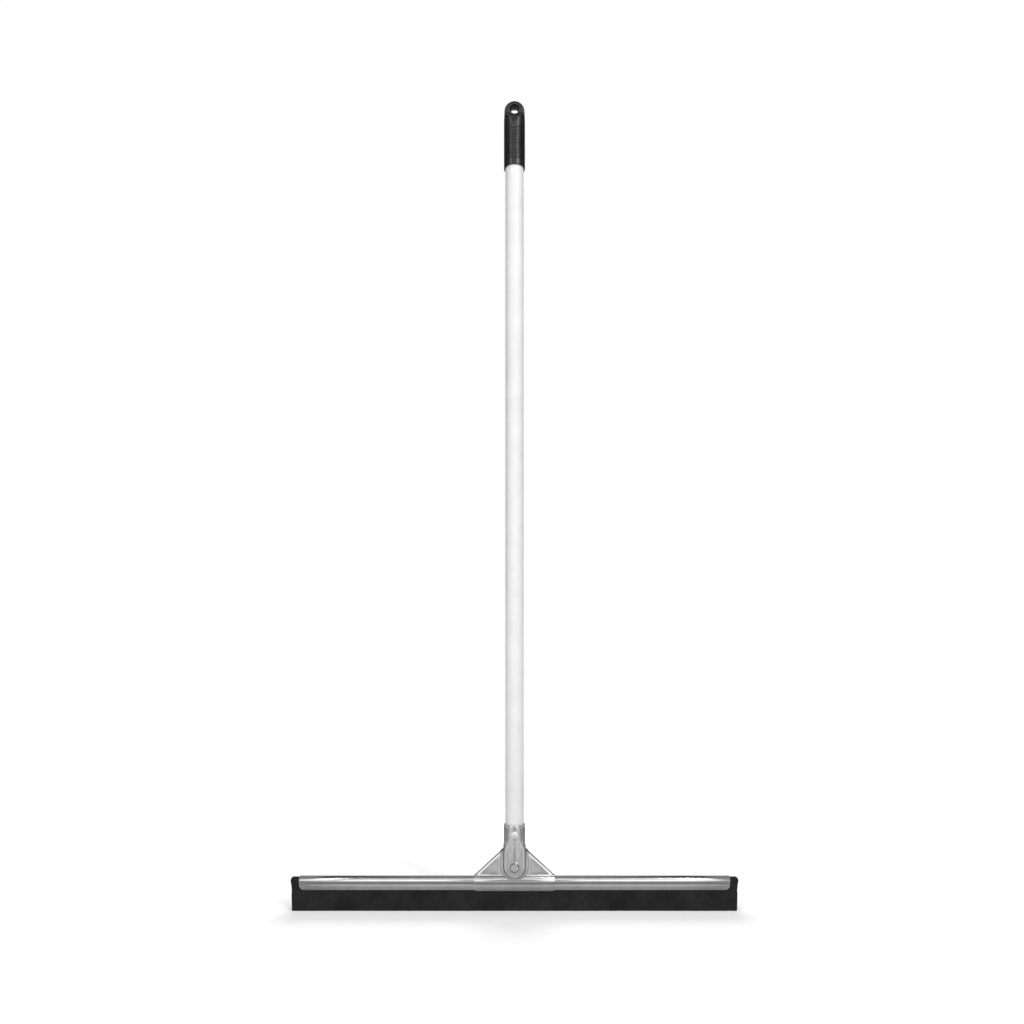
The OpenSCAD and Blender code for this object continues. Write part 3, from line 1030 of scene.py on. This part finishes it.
@dataclass
class Bracket:
    """Pressed bracket in two half shells over the channel."""

    blade: Blade
    width: float = 110.0
    sheet: float = 1.2
    seat: float = 0.1
    drop: float = 0.8
    corner: float = 3.0
    face: float = 3.0
    half_gap: float = 0.05
    wing_radius: float = 28.0
    pivot_z: float = PIVOT_Z
    foot_z: float = 45.2
    root: float = 3.0
    bend: float = 1.5
    tilt_width: float = 2.0
    tilt_drop: float = 1.0
    pad_root: float = 1.6
    pad_face: float = 7.0
    pad_half: float = 19.0
    pad_inset: float = 0.03
    pad_bend: float = 1.5
    pad_clear: float = 0.5
    fillet: float = 2.5
    hollow_start: float = 194.0
    crest_drop: float = 0.4
    crest_inset: float = 0.25
    core: float = 1.0
    skirt_spare: float = 0.5
    rim: float = 3.8
    panel_face: float = 2.2
    panel_foot: float = 2.35
    panel_corner: float = 2.0
    panel_bend: float = 0.7
    bush_hole: float = 5.05
    sheared: float = 0.55
    trim_run: Flat = (-2.0, 20.0)
    bush_run: Flat = (-2.0, 12.0)
    soft_edge: float = 0.45

    def side_z(self) -> float:
        """Gives the height at which the slanted edges reach the ends of the saddle."""
        outer = self.blade.bead + self.seat + self.sheet
        return self.blade.bead_z + math.sqrt(outer**2 - self.face**2)

    def slant(self) -> float:
        """Gives the direction square to the slanted edges, in radians above X."""
        corner = Vector((self.width / 2, self.side_z() - self.pivot_z))
        return math.atan2(corner.y, corner.x) + math.acos(self.wing_radius / corner.length)

    def on_slant(self, reach: float, z: float) -> float:
        """Gives where a line parallel to the slanted edge crosses a height above the pivot."""
        slant = self.slant()
        return (reach - z * math.sin(slant)) / math.cos(slant)

    def bead_room(self, gap: float) -> Piece:
        """Gives the tool that clears a form of the channel's bead by a gap."""
        bead = circle((0, self.blade.bead_z), self.blade.bead + gap, 60)
        return prism("bead_room", Plane.SIDE, bead, -self.width, self.width)

    def build_wing(self) -> Piece:
        """Presses the wings' plate with its round top and bent rim.

        Returns:
            The plate.
        """
        low = self.foot_z - self.pivot_z - self.root
        right = [(self.on_slant(self.wing_radius, low), low)]
        right += arc((0, 0), self.wing_radius, math.degrees(self.slant()), 90, 16)[:-1]
        outline = [(x, z + self.pivot_z) for x, z in mirrored(right)]
        edge_face = self.face - self.tilt_drop
        piece = prism("bracket_rear_pressed", Plane.FRONT, outline, self.half_gap, edge_face)
        bend_edges(piece, edge_face, self.bend, 4, self.foot_z + NEAR)
        with editing(piece):
            bpy.ops.mesh.select_mode(type="FACE")
            with open_mesh(piece) as mesh:
                for face in mesh.faces:
                    face.select_set(face.normal.y > 0.99)
            bpy.ops.mesh.inset(thickness=self.tilt_width * MM, depth=self.tilt_drop * MM)
        act(piece, self.bead_room(self.seat), Cut.TAKE)
        return piece

    def build_pad(self) -> Piece:
        """Presses the raised pad at the pivot and clears it of the bead.

        Returns:
            The pad.
        """
        rise = math.sqrt(self.wing_radius**2 - self.pad_half**2)
        tip = math.degrees(math.atan2(rise, self.pad_half))
        outline = arc((0, self.pivot_z), self.pad_half, 180, 360, 32)
        outline += arc((0, self.pivot_z), self.wing_radius - self.pad_inset, tip, 180 - tip, 20)
        piece = prism("pad", Plane.FRONT, outline, self.pad_root, self.pad_face)
        bend_edges(piece, self.pad_face, self.pad_bend, 4)
        act(piece, self.bead_room(self.pad_clear), Cut.TAKE)
        return piece

    def build_saddle(self) -> Piece:
        """Presses the saddle over the bead, with its hollow to the wings and its skirt.

        Returns:
            The saddle.
        """
        blade = self.blade
        foot = blade.reach - self.drop - self.skirt_spare
        inner, outer = self.seat, self.seat + self.sheet
        centre_y = self.face + self.fillet
        rise = math.sqrt((blade.bead + outer + self.fillet) ** 2 - centre_y**2)
        centre_z = blade.bead_z + rise
        meet = math.degrees(math.atan2(-rise, -centre_y)) % 360
        outside = arc((centre_y, centre_z), self.fillet, self.hollow_start, meet, 8)
        outside += blade.bead_arc(outer, meet - 180, blade.pinch(outer), 16)[1:]
        outside += blade.skirt_line(outer, foot)[1:]
        top = math.degrees(math.acos(self.core / (blade.bead + inner)))
        inside = blade.bead_arc(inner, top, blade.pinch(inner), 18)
        inside += blade.skirt_line(inner, foot)[1:]
        crest = centre_z - self.crest_drop
        outline = [(self.core, crest), (self.face - self.crest_inset, crest)]
        outline += outside + list(reversed(inside))
        half = self.width / 2
        piece = prism("saddle", Plane.SIDE, outline, -half - SPARE, half + SPARE)
        right = [
            (half, foot + self.skirt_spare, self.corner),
            (half, self.side_z(), 0),
            (self.on_slant(self.wing_radius, 0), self.pivot_z, 0),
        ]
        trim = rounded(mirrored(right))
        act(piece, prism("saddle_trim", Plane.FRONT, trim, *self.trim_run), Cut.KEEP)
        return piece

    def build_panel_tool(self, side: int) -> Piece:
        """Shapes the tool that presses one panel in.

        Args:
            side: Sign of the side that the panel is on.

        Returns:
            The tool.
        """
        reach = self.wing_radius - self.rim
        x = self.pad_half + self.rim
        low = self.foot_z + self.panel_foot - self.pivot_z
        slant = self.slant()
        high = (reach - x * math.cos(slant)) / math.sin(slant)
        corners = [(x, low), (self.on_slant(reach, low), low), (x, high)]
        outline = rounded(
            [(side * px, z + self.pivot_z, self.panel_corner) for px, z in corners]
        )
        top = self.face + 2 * SPARE
        piece = prism("panel_tool", Plane.FRONT, outline, self.panel_face, top)
        bend_edges(piece, self.panel_face, self.panel_bend, 3)
        return piece

    def darkening(self, face: bpy.types.MeshPolygon) -> float:
        """Tells whether a face is on the wings' sheared edge, which has no zinc and is painted near
        black besides, as painted shade.

        Args:
            face: Face of the finished shell.

        Returns:
            One on the edge, and nought elsewhere.
        """
        # Painted shade: the faces of the slanted edges that turn outwards are painted near black,
        # much darker than steel without zinc.
        slant = self.slant()
        out = abs(face.normal.x) * math.cos(slant) + face.normal.z * math.sin(slant)
        outside = face.normal.x * face.center.x >= 0 and face.center.z > self.foot_z * MM
        return 1.0 if outside and out > self.sheared else 0.0

    def build(self) -> None:
        """Builds the rear shell, copies it to the front and dresses both."""
        piece = self.build_wing()
        act(piece, self.build_pad(), Cut.JOIN)
        act(piece, self.build_saddle(), Cut.JOIN)
        for side in (-1, 1):
            act(piece, self.build_panel_tool(side), Cut.TAKE)
        hole = circle((0, self.pivot_z), self.bush_hole, 48)
        act(piece, prism("bush_room", Plane.FRONT, hole, *self.bush_run), Cut.TAKE)
        mend(piece)
        soften(piece, self.soft_edge, 3, 38, 35)
        # Paints the sheared edges dark: steel without zinc, and painted shade.
        mark_bare_and_shade(piece, self.darkening)
        front = copied(piece, "bracket_front_pressed", FRONT_TO_REAR)
        settle(piece, BRACKET_STEEL, Body.HEAD, "bracket_rear")
        settle(front, BRACKET_STEEL, Body.HEAD, "bracket_front")


@dataclass
class Swivel:
    """Rivet with its washers, on which the handle turns."""

    pivot_z: float = PIVOT_Z
    cheek: float = CHEEK_FACE
    seat: float = 11.3
    shank: float = 3.0
    head: float = 4.9
    head_height: float = 2.2
    head_rim: float = 0.5
    head_crown: float = 0.2
    head_bulge: float = 0.02
    head_foot: Flat = (0.15, 0.25)
    washer: float = 7.7
    washer_hole: float = 3.05
    washer_draft: float = 0.1
    washer_bend: float = 0.5
    hole_bend: float = 0.15
    dish: Flat = (5.0, 6.6)
    dish_floor: Flat = (0.05, 0.6)
    dish_depth: float = 0.8
    dish_bends: Flat = (0.1, 0.2)
    # Painted shade in the washers' dish round the rivet's head, on its upper part: its share, its
    # margin inside the dish's rim and how far below the pivot's level it reaches, against the
    # radius.
    ring_shade_share: float = 0.5
    ring_shade_margin: float = 0.1
    ring_shade_low: float = -0.2

    def build_rivet(self) -> Piece:
        """Turns the rivet with its two domed heads.

        Returns:
            The rivet.
        """
        flat = self.head - self.head_rim
        top = self.seat + self.head_height
        side = [(flat * i / 4, top - self.head_crown * (i / 4) ** 2) for i in range(4)]
        rim = (flat, top - self.head_crown - self.head_rim)
        side += arc(rim, self.head_rim, 82, 0, 7)
        draft, foot = self.head_foot
        side += [(self.head + self.head_bulge, self.seat + foot), (self.head - draft, self.seat)]
        side += [(self.shank, self.seat)]
        piece = turned_across("rivet_domed", two_faced(side), self.pivot_z)
        shade(piece)
        return piece

    def build_washer(self) -> Piece:
        """Turns the front washer, rounded at its edge and dished round the rivet's head.

        Returns:
            The washer.
        """
        low, high = self.cheek, self.seat
        inner, outer = self.dish
        near, far = (inner + run for run in self.dish_floor)
        floor = high - self.dish_depth
        floor_bend, brim_bend = self.dish_bends
        ring = rounded(
            [
                (self.washer_hole, low, 0),
                (self.washer, low, 0),
                (self.washer - self.washer_draft, high, self.washer_bend),
                (outer, high, brim_bend),
                (far, floor, floor_bend),
                (near, floor, floor_bend),
                (inner, high, 0),
                (self.washer_hole, high, self.hole_bend),
            ]
        )
        points = [(radius, -depth) for radius, depth in ring + ring[:1]]
        piece = turned_across("washers_turned", points, self.pivot_z)
        shade(piece)
        return piece

    def ring_shade(self, face: bpy.types.MeshPolygon) -> float:
        """Tells how far a face in the washer's dish, above and beside the rivet's head, is painted
        dark as shade.

        Args:
            face: Face of the washers.

        Returns:
            The share of painted shade.
        """
        across, up = face.center.x / MM, face.center.z / MM - self.pivot_z
        radius = math.hypot(across, up)
        inner, outer = self.dish
        in_dish = inner < radius < outer - self.ring_shade_margin
        return self.ring_shade_share if in_dish and up > self.ring_shade_low * radius else 0.0

    def build(self) -> None:
        """Builds the rivet and the washers and dresses them with the hidden pieces."""
        settle(self.build_rivet(), RIVET_STEEL, Body.HANDLE, "pivot_rivet")
        washer = self.build_washer()
        pair = merged([washer, copied(washer, "washer_rear", FRONT_TO_REAR)])
        # Paints shade into the upper part of the washers' dish.
        mark_bare_and_shade(pair, self.ring_shade)
        settle(pair, RIVET_STEEL, Body.HANDLE, "pivot_washers")
        dress_node("pivot_bush", ROD_STEEL)
        dress_node("pivot_spacers", SPACER_PLASTIC)


@dataclass
class Socket:
    """Rolled tube for the pole that flattens into two cheeks, and its screw."""

    pivot_z: float = PIVOT_Z
    cheek: float = CHEEK_FACE
    seat_z: float = 91.0
    shoulder_z: float = 85.0
    flat_z: float = 67.0
    wedge_z: float = 94.0
    press_z: float = 98.0
    edge_z: float = 80.0
    radius: float = 14.2
    sheet: float = 1.5
    edge: float = 7.3
    cheek_half: float = 15.2
    cheek_radius: float = 15.5
    edge_round: float = 0.28
    end_sharpness: float = 0.7
    ridge_blend: float = 0.8
    wing_slot: float = 3.3
    slot_foot: float = 41.0
    slot_run: Flat = (-30.0, 30.0)
    seam: float = 0.4
    seam_rows: Flat = (89.0, 121.0)
    seam_reach: Flat = (5.0, 20.0)
    # Painted shade on the cheeks' sideways faces: its greatest share, and the sideways turn of a
    # face where it starts and over which it grows.
    side_shade: float = 0.7
    side_shade_from: float = 0.2
    side_shade_over: float = 0.5
    tube_edge: float = 0.3
    columns: int = 64
    fan: int = 16
    levels: tuple[float, ...] = (
        115, 111, 107, 103, 99, 95, 93, 91.6, 91, 90.2, 89.2, 88, 87, 86, 85,
        83, 81, 79, 77, 75, 73, 71, 69, 67.2, 65.6, 64, 62, 60, PIVOT_Z,
    )
    screw_z: float = 102.7
    screw_head: float = 5.1
    head_height: float = 3.4
    head_side: float = 2.0
    head_draft: float = 0.1
    head_bevel: float = 0.15
    recess: Flat = (2.8, 0.65)
    recess_depth: float = 1.8
    screw_edge: float = 0.12
    shank: float = 2.4
    shank_length: float = 18.0

    @staticmethod
    def ease(value: float) -> float:
        """Runs smoothly from nought to one."""
        value = min(1.0, max(0.0, value))
        return value * value * (3 - 2 * value)

    def sheet_point(self, share: float, level: float, sweep: float) -> Vector:
        """Gives a point on the outer face of the front half.

        Args:
            share: Place across the half, from minus one at the left edge to one.
            level: Height of the row.
            sweep: Turn of the row about the pivot below its height, from nought to one.

        Returns:
            The place in metres.
        """
        part = self.ease((self.seat_z - level) / (self.seat_z - self.shoulder_z))
        half = self.radius + (self.cheek_half - self.radius) * part
        low = min(1.0, max(0.0, (self.shoulder_z - level) / (self.shoulder_z - self.pivot_z)))
        half += (self.cheek_radius - self.cheek_half) * low
        edge = self.edge * self.ease((self.seat_z - level) / (self.seat_z - self.edge_z))
        press = self.ease((self.press_z - level) / (self.press_z - self.edge_z))
        crest = self.radius + (self.cheek - self.radius) * press
        across = math.sin(abs(share) * math.pi / 2)
        bent = self.edge_round * (1 - self.end_sharpness * sweep)
        over = max(0.0, (across - 1 + bent) / bent)
        tube, flat = (math.sqrt(max(0.0, 1 - reach**2)) for reach in (across, over))
        cheek = edge + (crest - edge) * (tube + (flat - tube) * press)
        turn = sweep * math.pi / 2
        x = half * across * math.cos(turn)
        z = level - half * across * math.sin(turn)
        fall = max(0.0, (self.wedge_z - z) / (self.wedge_z - self.flat_z))
        ridge = self.radius - (self.radius - self.cheek) * fall
        ridge -= self.radius - math.sqrt(max(0.0, self.radius**2 - x**2))
        blend = self.ridge_blend * press + 1e-6
        out = max(cheek, ridge) + max(0.0, blend - abs(cheek - ridge)) ** 2 / (4 * blend)
        return Vector((math.copysign(x, share), -out, z)) * MM

    def build_half(self) -> Piece:
        """Shapes a grid into the front half: half the tube and one cheek.

        Returns:
            The half, without thickness.
        """
        rows = [(level, 0.0) for level in self.levels]
        rows += [(self.pivot_z, (i + 1) / self.fan) for i in range(self.fan)]
        last = len(rows) - 1
        piece = added(
            "socket_rolled",
            bpy.ops.mesh.primitive_grid_add,
            x_subdivisions=self.columns,
            y_subdivisions=last,
            size=2,
        )
        with editing(piece), open_mesh(piece) as mesh:
            for vertex in mesh.verts:
                row = round((1 - vertex.co.y) / 2 * last)
                vertex.co = self.sheet_point(vertex.co.x, *rows[row])
        mend(piece, NEAR)
        return piece

    def build_tube(self) -> Piece:
        """Joins two halves, gives them the sheet's thickness and opens the slot and the seam.

        Returns:
            The socket.
        """
        front = self.build_half()
        piece = merged([front, copied(front, "socket_rear", FRONT_TO_REAR)])
        with editing(piece):
            bpy.ops.mesh.remove_doubles(threshold=NEAR * MM)
        modify(piece, "SOLIDIFY", thickness=self.sheet * MM, offset=-1.0, use_even_offset=True)
        openings = (
            ("wing_slot", self.wing_slot, (self.slot_foot, self.seat_z), self.slot_run),
            ("seam", self.seam, self.seam_rows, self.seam_reach),
        )
        for name, half, (low, high), reach in openings:
            outline = [(-half, low), (half, low), (half, high), (-half, high)]
            act(piece, prism(name, Plane.SIDE, outline, *reach), Cut.TAKE)
        soften(piece, self.tube_edge, 2, 50)
        # Paints shade on the cheeks' bent edges that face sideways.
        mark_bare_and_shade(piece, self.darkening)
        return piece

    def darkening(self, face: bpy.types.MeshPolygon) -> float:
        """Tells how far a face is painted darker as shade, most on the cheeks' bent edges that face
        sideways.

        Args:
            face: Face of the finished socket.

        Returns:
            The share of painted shade.
        """
        low = self.ease((self.wedge_z - face.center.z / MM) / (self.wedge_z - self.edge_z))
        side = self.ease((abs(face.normal.x) - self.side_shade_from) / self.side_shade_over)
        return self.side_shade * low * side

    def build_screw(self) -> Piece:
        """Turns the pan head screw and cuts its cross recess.

        Returns:
            The screw.
        """
        crown = self.head_height - self.head_side
        ball = (self.screw_head**2 + crown**2) / (2 * crown)
        spread = math.degrees(math.asin(self.screw_head / ball))
        dome = arc((0, self.head_height - ball), ball, 90, 90 - spread, 12)
        points = dome[:-1] + [
            (self.screw_head, self.head_side - self.head_draft),
            (self.screw_head, self.head_bevel),
            (self.screw_head - self.head_bevel, 0),
            (self.shank, 0),
            (self.shank, -self.shank_length + 2 * self.shank),
            (0, -self.shank_length),
        ]
        points = [(radius, -self.radius - out) for radius, out in points]
        piece = turned_across("screw_pan_head", points, self.screw_z, 48)
        face = -self.radius - self.head_height
        for wide, high in (self.recess, self.recess[::-1]):
            low, top = self.screw_z - high, self.screw_z + high
            arm = [(-wide, low), (wide, low), (wide, top), (-wide, top)]
            tool = prism("recess", Plane.FRONT, arm, face - SPARE, face + self.recess_depth)
            act(piece, tool, Cut.TAKE)
        soften(piece, self.screw_edge, 2, 50)
        return piece

    def build(self) -> None:
        """Builds the socket and its screw and dresses them."""
        settle(self.build_tube(), SOCKET_STEEL, Body.HANDLE, "handle_socket")
        settle(self.build_screw(), SCREW_STEEL, Body.HANDLE, "handle_screw")


@dataclass
class Pole:
    """Coated tube between the socket and the grip."""

    foot_z: float = 91.2
    length: float = 973.0
    radius: float = 12.5
    wall: float = 1.0
    soft_edge: float = 0.2
    sides: int = 96
    rows: int = 6

    def build(self) -> None:
        """Draws the tube, gives it its wall and dresses it with its plug."""
        ring = bpy.ops.mesh.primitive_circle_add
        piece = added("pole_tube", ring, vertices=self.sides, radius=self.radius * MM)
        rise = (0, 0, self.length * MM / self.rows)
        with editing(piece):
            bpy.ops.transform.translate(value=(0, 0, self.foot_z * MM))
            for _ in range(self.rows):
                bpy.ops.mesh.extrude_region_move(TRANSFORM_OT_translate={"value": rise})
            bpy.ops.mesh.select_all(action="SELECT")
            bpy.ops.mesh.normals_make_consistent(inside=False)
        modify(piece, "SOLIDIFY", thickness=self.wall * MM, offset=-1.0)
        soften(piece, self.soft_edge, 2, 60)
        settle(piece, POLE_COATING, Body.HANDLE, "pole")
        dress_node("pole_plug", PLUG_PLASTIC)


@dataclass
class Grip:
    """Ribbed sleeve over the pole's end, flattened into a hanging eye."""

    foot_z: float = 1008.2
    top_z: float = 1098.7
    radius: float = 14.35
    bore: float = 12.55
    bore_top: float = 1064.3
    mouth_bevel: Flat = (0.4, 0.6)
    foot_round: float = 0.7
    sleeve_top: float = 1071.0
    eye_half: float = 13.65
    eye_face: float = 6.5
    eye_z: float = 1081.0
    eye_bend: float = 6.0
    eye_edge: float = 2.4
    hole: float = 6.35
    hole_z: float = 1087.2
    hole_bevel: float = 0.15
    ribs: int = 20
    pitch: float = 2.2
    rib_depth: float = 0.5
    rib_form: tuple[Flat, ...] = (
        (0.0, 0.0), (0.0, 0.56), (0.16, 0.62), (0.7, 0.7), (1.0, 0.78), (0.7, 0.86), (0.16, 0.94),
    )
    collar: float = 7.0
    tool_room: float = 4.0
    skin: float = 0.02
    soft_edge: float = 0.35

    def profile(self) -> list[Flat]:
        """Gives the sleeve's profile from its bore round its foot and its ribs to its top.

        Returns:
            Radius and height of the profile's points.
        """
        across, up = self.mouth_bevel
        foot, bend = self.foot_z, self.foot_round
        points = [(0, self.bore_top), (self.bore, self.bore_top), (self.bore, foot + up)]
        points += [(self.bore + across, foot), (self.radius - up, foot)]
        points += arc((self.radius - bend, foot + bend), bend, -60, 0, 4)
        start = foot + self.collar
        for i in range(self.ribs):
            for dip, share in self.rib_form:
                points.append((self.radius - dip * self.rib_depth, start + (i + share) * self.pitch))
        top = self.top_z + SPARE
        points += [(self.radius, start + self.ribs * self.pitch), (self.radius, top)]
        return points + [(0, top)]

    def build(self) -> None:
        """Turns the sleeve, trims it into the eye, bores the hole and dresses it."""
        profile = [Vector((r, 0, z)) * MM for r, z in self.profile()]
        piece = turned("grip_ribbed", profile, Vector((0, 0, 0)), ALONG_Z, 96)
        low = self.foot_z - 3 * SPARE
        wide, snug = self.radius + self.tool_room, self.radius + self.skin
        crown = arc((0, self.top_z - self.eye_half), self.eye_half, 4, 176, 40)
        front = [(-wide, self.sleeve_top), (-wide, low), (wide, low), (wide, self.sleeve_top)]
        front += [(snug, self.sleeve_top)] + crown + [(-snug, self.sleeve_top)]
        act(piece, self.build_crown_tool(front), Cut.KEEP)
        right = [
            (wide, low, 0),
            (wide, self.sleeve_top, 0),
            (snug, self.sleeve_top, 0),
            (self.eye_face, self.eye_z, self.eye_bend),
            (self.eye_face, self.top_z + 2 * SPARE, 0),
        ]
        side = rounded(mirrored(right))
        act(piece, prism("eye_side", Plane.SIDE, side, -TOOL_RUN, TOOL_RUN), Cut.KEEP)
        act(piece, self.build_hole_tool(), Cut.TAKE)
        mend(piece)
        soften(piece, self.soft_edge, 2, 55, 42)
        settle(piece, GRIP_PLASTIC, Body.HANDLE, "grip")

    def build_crown_tool(self, outline: Sequence[Flat]) -> Piece:
        """Shapes the tool for the eye's round crown, which is drawn in towards both faces.

        Args:
            outline: Front outline of the grip, with its crown above the crown's middle.

        Returns:
            The tool.
        """
        edge = self.eye_edge
        flat = self.eye_face + self.skin - edge
        turns = [i * math.pi / 10 for i in range(6)]
        half = [(flat + edge * math.sin(turn), edge * (1 - math.cos(turn))) for turn in turns]
        half += [(TOOL_RUN, edge)]
        levels = [(-y, inset) for y, inset in reversed(half)] + half
        middle = (self.top_z - self.eye_half) * MM
        last = len(levels) - 1
        piece = prism("eye_front", Plane.FRONT, outline, 0, last, last)
        with editing(piece), open_mesh(piece) as mesh:
            for vertex in mesh.verts:
                y, inset = levels[round(vertex.co.y / MM)]
                if vertex.co.z > middle:
                    share = 1 - inset / self.eye_half
                    vertex.co.x *= share
                    vertex.co.z = middle + (vertex.co.z - middle) * share
                vertex.co.y = y * MM
        return piece

    def build_hole_tool(self) -> Piece:
        """Turns the tool for the hanging hole, flared at both faces.

        Returns:
            The tool.
        """
        face, flare, run = self.eye_face, self.hole_bevel, 3 * SPARE
        points = [
            (0, face + run),
            (self.hole + flare + run, face + run),
            (self.hole + flare, face),
            (self.hole + 0.35 * flare, face - 0.6 * flare),
            (self.hole, face - 1.6 * flare),
        ]
        return turned_across("hole_tool", two_faced(points), self.hole_z, 56)


# Studio


def facing(place: Place, aim: Place, axis: str) -> Euler:
    """Gives the turn that points an object's axis from its place to another."""
    toward = Vector(aim) - Vector(place)
    return toward.to_track_quat(axis, "Y").to_euler()


@dataclass(frozen=True)
class Lamp:
    """Softbox: an oblong area lamp turned to the object."""

    name: str
    place: Place
    aim: Place
    size: Flat
    power: float
    mirrored: bool = True

    def build(self) -> None:
        """Hangs the lamp."""
        lamp = added(self.name, bpy.ops.object.light_add, type="AREA", location=self.place)
        lamp.rotation_euler = facing(self.place, self.aim, "-Z")
        lamp.data.shape = "RECTANGLE"
        lamp.data.size, lamp.data.size_y = self.size
        lamp.data.energy = self.power
        lamp.visible_glossy = self.mirrored


@dataclass(frozen=True)
class Card:
    """Grey card beside the set that bright metal mirrors and the camera doesn't see."""

    name: str
    place: Place
    aim: Place
    size: Flat
    grey: float

    def build(self) -> None:
        """Stands the card up."""
        card = added(self.name, bpy.ops.mesh.primitive_plane_add, size=1.0, location=self.place)
        card.rotation_euler = facing(self.place, self.aim, "Z")
        card.scale = (*self.size, 1.0)
        for rays in ("camera", "diffuse", "shadow", "transmission"):
            setattr(card, f"visible_{rays}", False)
        material = bpy.data.materials.new(self.name)
        material.use_nodes = True
        shader = material.node_tree.nodes["Principled BSDF"]
        shader.inputs["Base Color"].default_value = (self.grey, self.grey, self.grey, 1)
        shader.inputs["Roughness"].default_value = 1.0
        card.data.materials.append(material)


@dataclass
class Studio:
    """White floor and background, softboxes, grey cards and the camera."""

    focal: float = 800.0
    frame_size: float = 1024.0
    sensor: float = 36.0
    horizon: float = 645.0
    stand: Place = (-3.4, -1092.5, 359.2)
    floor_size: float = 16.0
    floor_fade: Place = (0.3, 0.9, 0.12)
    floor_grey: float = 0.84
    ambient: float = 0.42
    white_rays: tuple[str, ...] = ("Is Camera Ray", "Is Glossy Ray", "Is Transmission Ray")
    lamps: tuple[Lamp, ...] = (
        Lamp("softbox_front", (0.0, -2.3, 0.75), (0, 0, 0.75), (1.9, 1.6), 19.0),
        Lamp("softbox_right", (0.86, -1.38, 0.7), (0, 0, 0.7), (0.6, 1.2), 4.2),
        Lamp("softbox_left", (-1.0, -1.28, 0.7), (0, 0, 0.7), (0.56, 1.2), 3.4),
        Lamp("strip_right", (1.0, -1.285, 2.0), (0, 0, 0.9), (0.2, 1.2), 16.0),
        Lamp("strip_left", (-1.05, -1.25, 2.0), (0, 0, 0.9), (0.16, 1.2), 6.0),
        Lamp("strip_above", (0.0, -1.45, 1.95), (0, 0, 1.05), (1.2, 0.35), 2.1),
        Lamp("light_above", (0.0, -0.3, 2.8), (0, 0, 0), (2.0, 2.0), 10.0, False),
        Lamp("light_behind", (0.0, 1.7, 1.25), (0, -0.1, 0), (1.6, 0.8), 28.0, False),
    )
    cards: tuple[Card, ...] = (
        Card("card_left", (-0.42, 0.3, 1.3), (0, 0.3, 1.3), (1.1, 1.8), 0.08),
        Card("card_right", (0.42, 0.3, 1.3), (0, 0.3, 1.3), (1.1, 1.8), 0.08),
        Card("card_front", (0.0, -0.3, 0.08), (0, 0, 0.08), (0.2, 0.16), 0.45),
        Card("card_ridge", (0.0, -0.095, 0.028), (0, -0.095, 1.0), (0.044, 0.05), 0.45),
        # Painted shadow: a grey card on the floor in front of the blade, seen only in reflections,
        # stands in for the floor's shade there.
        Card("card_blade_shadow", (0.0, -0.055, 0.003), (0, -0.055, 1.0), (0.7, 0.08), 0.42),
        Card("card_behind", (0.0, 2.2, 0.01), (0, 2.2, 1.0), (1.2, 4.0), 0.02),
        Card("patch_left", (-0.475, 0.0, 0.002), (-0.475, 0, 1.0), (0.26, 0.6), 0.2),
        Card("patch_right", (0.48, 0.0, 0.002), (0.48, 0, 1.0), (0.26, 0.6), 0.2),
    )

    def seen_by(self, wires: Wiring, *rays: str) -> Wire:
        """Gives a mask of the rays of the named kinds.

        Args:
            wires: Wiring of the tree.
            rays: Names of the kinds of ray.

        Returns:
            The socket with the mask.
        """
        path = wires.add("LightPath").outputs
        mask = path[rays[0]]
        for name in rays[1:]:
            mask = wires.math("MAXIMUM", mask, path[name])
        return mask

    def build_world(self) -> None:
        """Makes the background white to the eye and a plain soft light elsewhere."""
        world = bpy.data.worlds.new("white_set")
        bpy.context.scene.world = world
        wires = blank(world)
        white = self.seen_by(wires, "Is Camera Ray", "Is Transmission Ray")
        strength = wires.spread(white, self.ambient, 1.0)
        shader = wires.add("Background", {"Strength": strength}, Color=(1, 1, 1, 1))
        wires.add("OutputWorld", {"Surface": shader.outputs[0]})

    def build_floor(self) -> None:
        """Lays the white floor, which keeps part of the shadows that fall on it."""
        floor = added("floor", bpy.ops.mesh.primitive_plane_add, size=self.floor_size)
        material = bpy.data.materials.new("white_floor")
        wires = blank(material)
        grey = self.floor_grey
        matte = wires.add("BsdfDiffuse", Color=(grey, grey, grey, 1)).outputs[0]
        glow = wires.add("Emission", Color=(1, 1, 1, 1), Strength=1.0).outputs[0]
        place = wires.add("TexCoord").outputs["Object"]
        away = wires.add("VectorMath", {"0": place}, operation="LENGTH").outputs["Value"]
        near, far, least = self.floor_fade
        fade = wires.add(
            "MapRange",
            {"Value": away},
            clamp=True,
            interpolation_type="SMOOTHSTEP",
            From_Min=near,
            From_Max=far,
            To_Min=least,
        )
        seen = self.seen_by(wires, *self.white_rays)
        share = wires.math("MULTIPLY", fade.outputs["Result"], seen)
        mixed = wires.add("MixShader", {"0": share, "1": matte, "2": glow})
        wires.add("OutputMaterial", {"Surface": mixed.outputs[0]})
        floor.data.materials.append(material)

    def build_camera(self) -> None:
        """Sets the camera level in front of the object, with the frame shifted upwards."""
        place = Vector(self.stand) * MM
        level = (math.pi / 2, 0, 0)
        camera = added("camera", bpy.ops.object.camera_add, location=place, rotation=level)
        camera.data.sensor_width = self.sensor
        camera.data.lens = self.focal / self.frame_size * self.sensor
        camera.data.shift_y = (self.horizon - self.frame_size / 2) / self.frame_size
        bpy.context.scene.camera = camera

    def build(self) -> None:
        """Builds the whole set."""
        bpy.context.scene.view_settings.view_transform = "Standard"
        self.build_camera()
        self.build_world()
        self.build_floor()
        for item in self.lamps + self.cards:
            item.build()
        LOG.info("studio: %d lamps, %d cards", len(self.lamps), len(self.cards))


def main() -> None:
    """Builds the set and every sub-assembly in order."""
    logging.basicConfig(level=logging.INFO, format="%(name)s: %(message)s")
    Studio().build()
    blade = Blade()
    blade.build()
    Bracket(blade).build()
    Swivel().build()
    Socket().build()
    Pole().build()
    Grip().build()


if __name__ == "__main__":
    main()
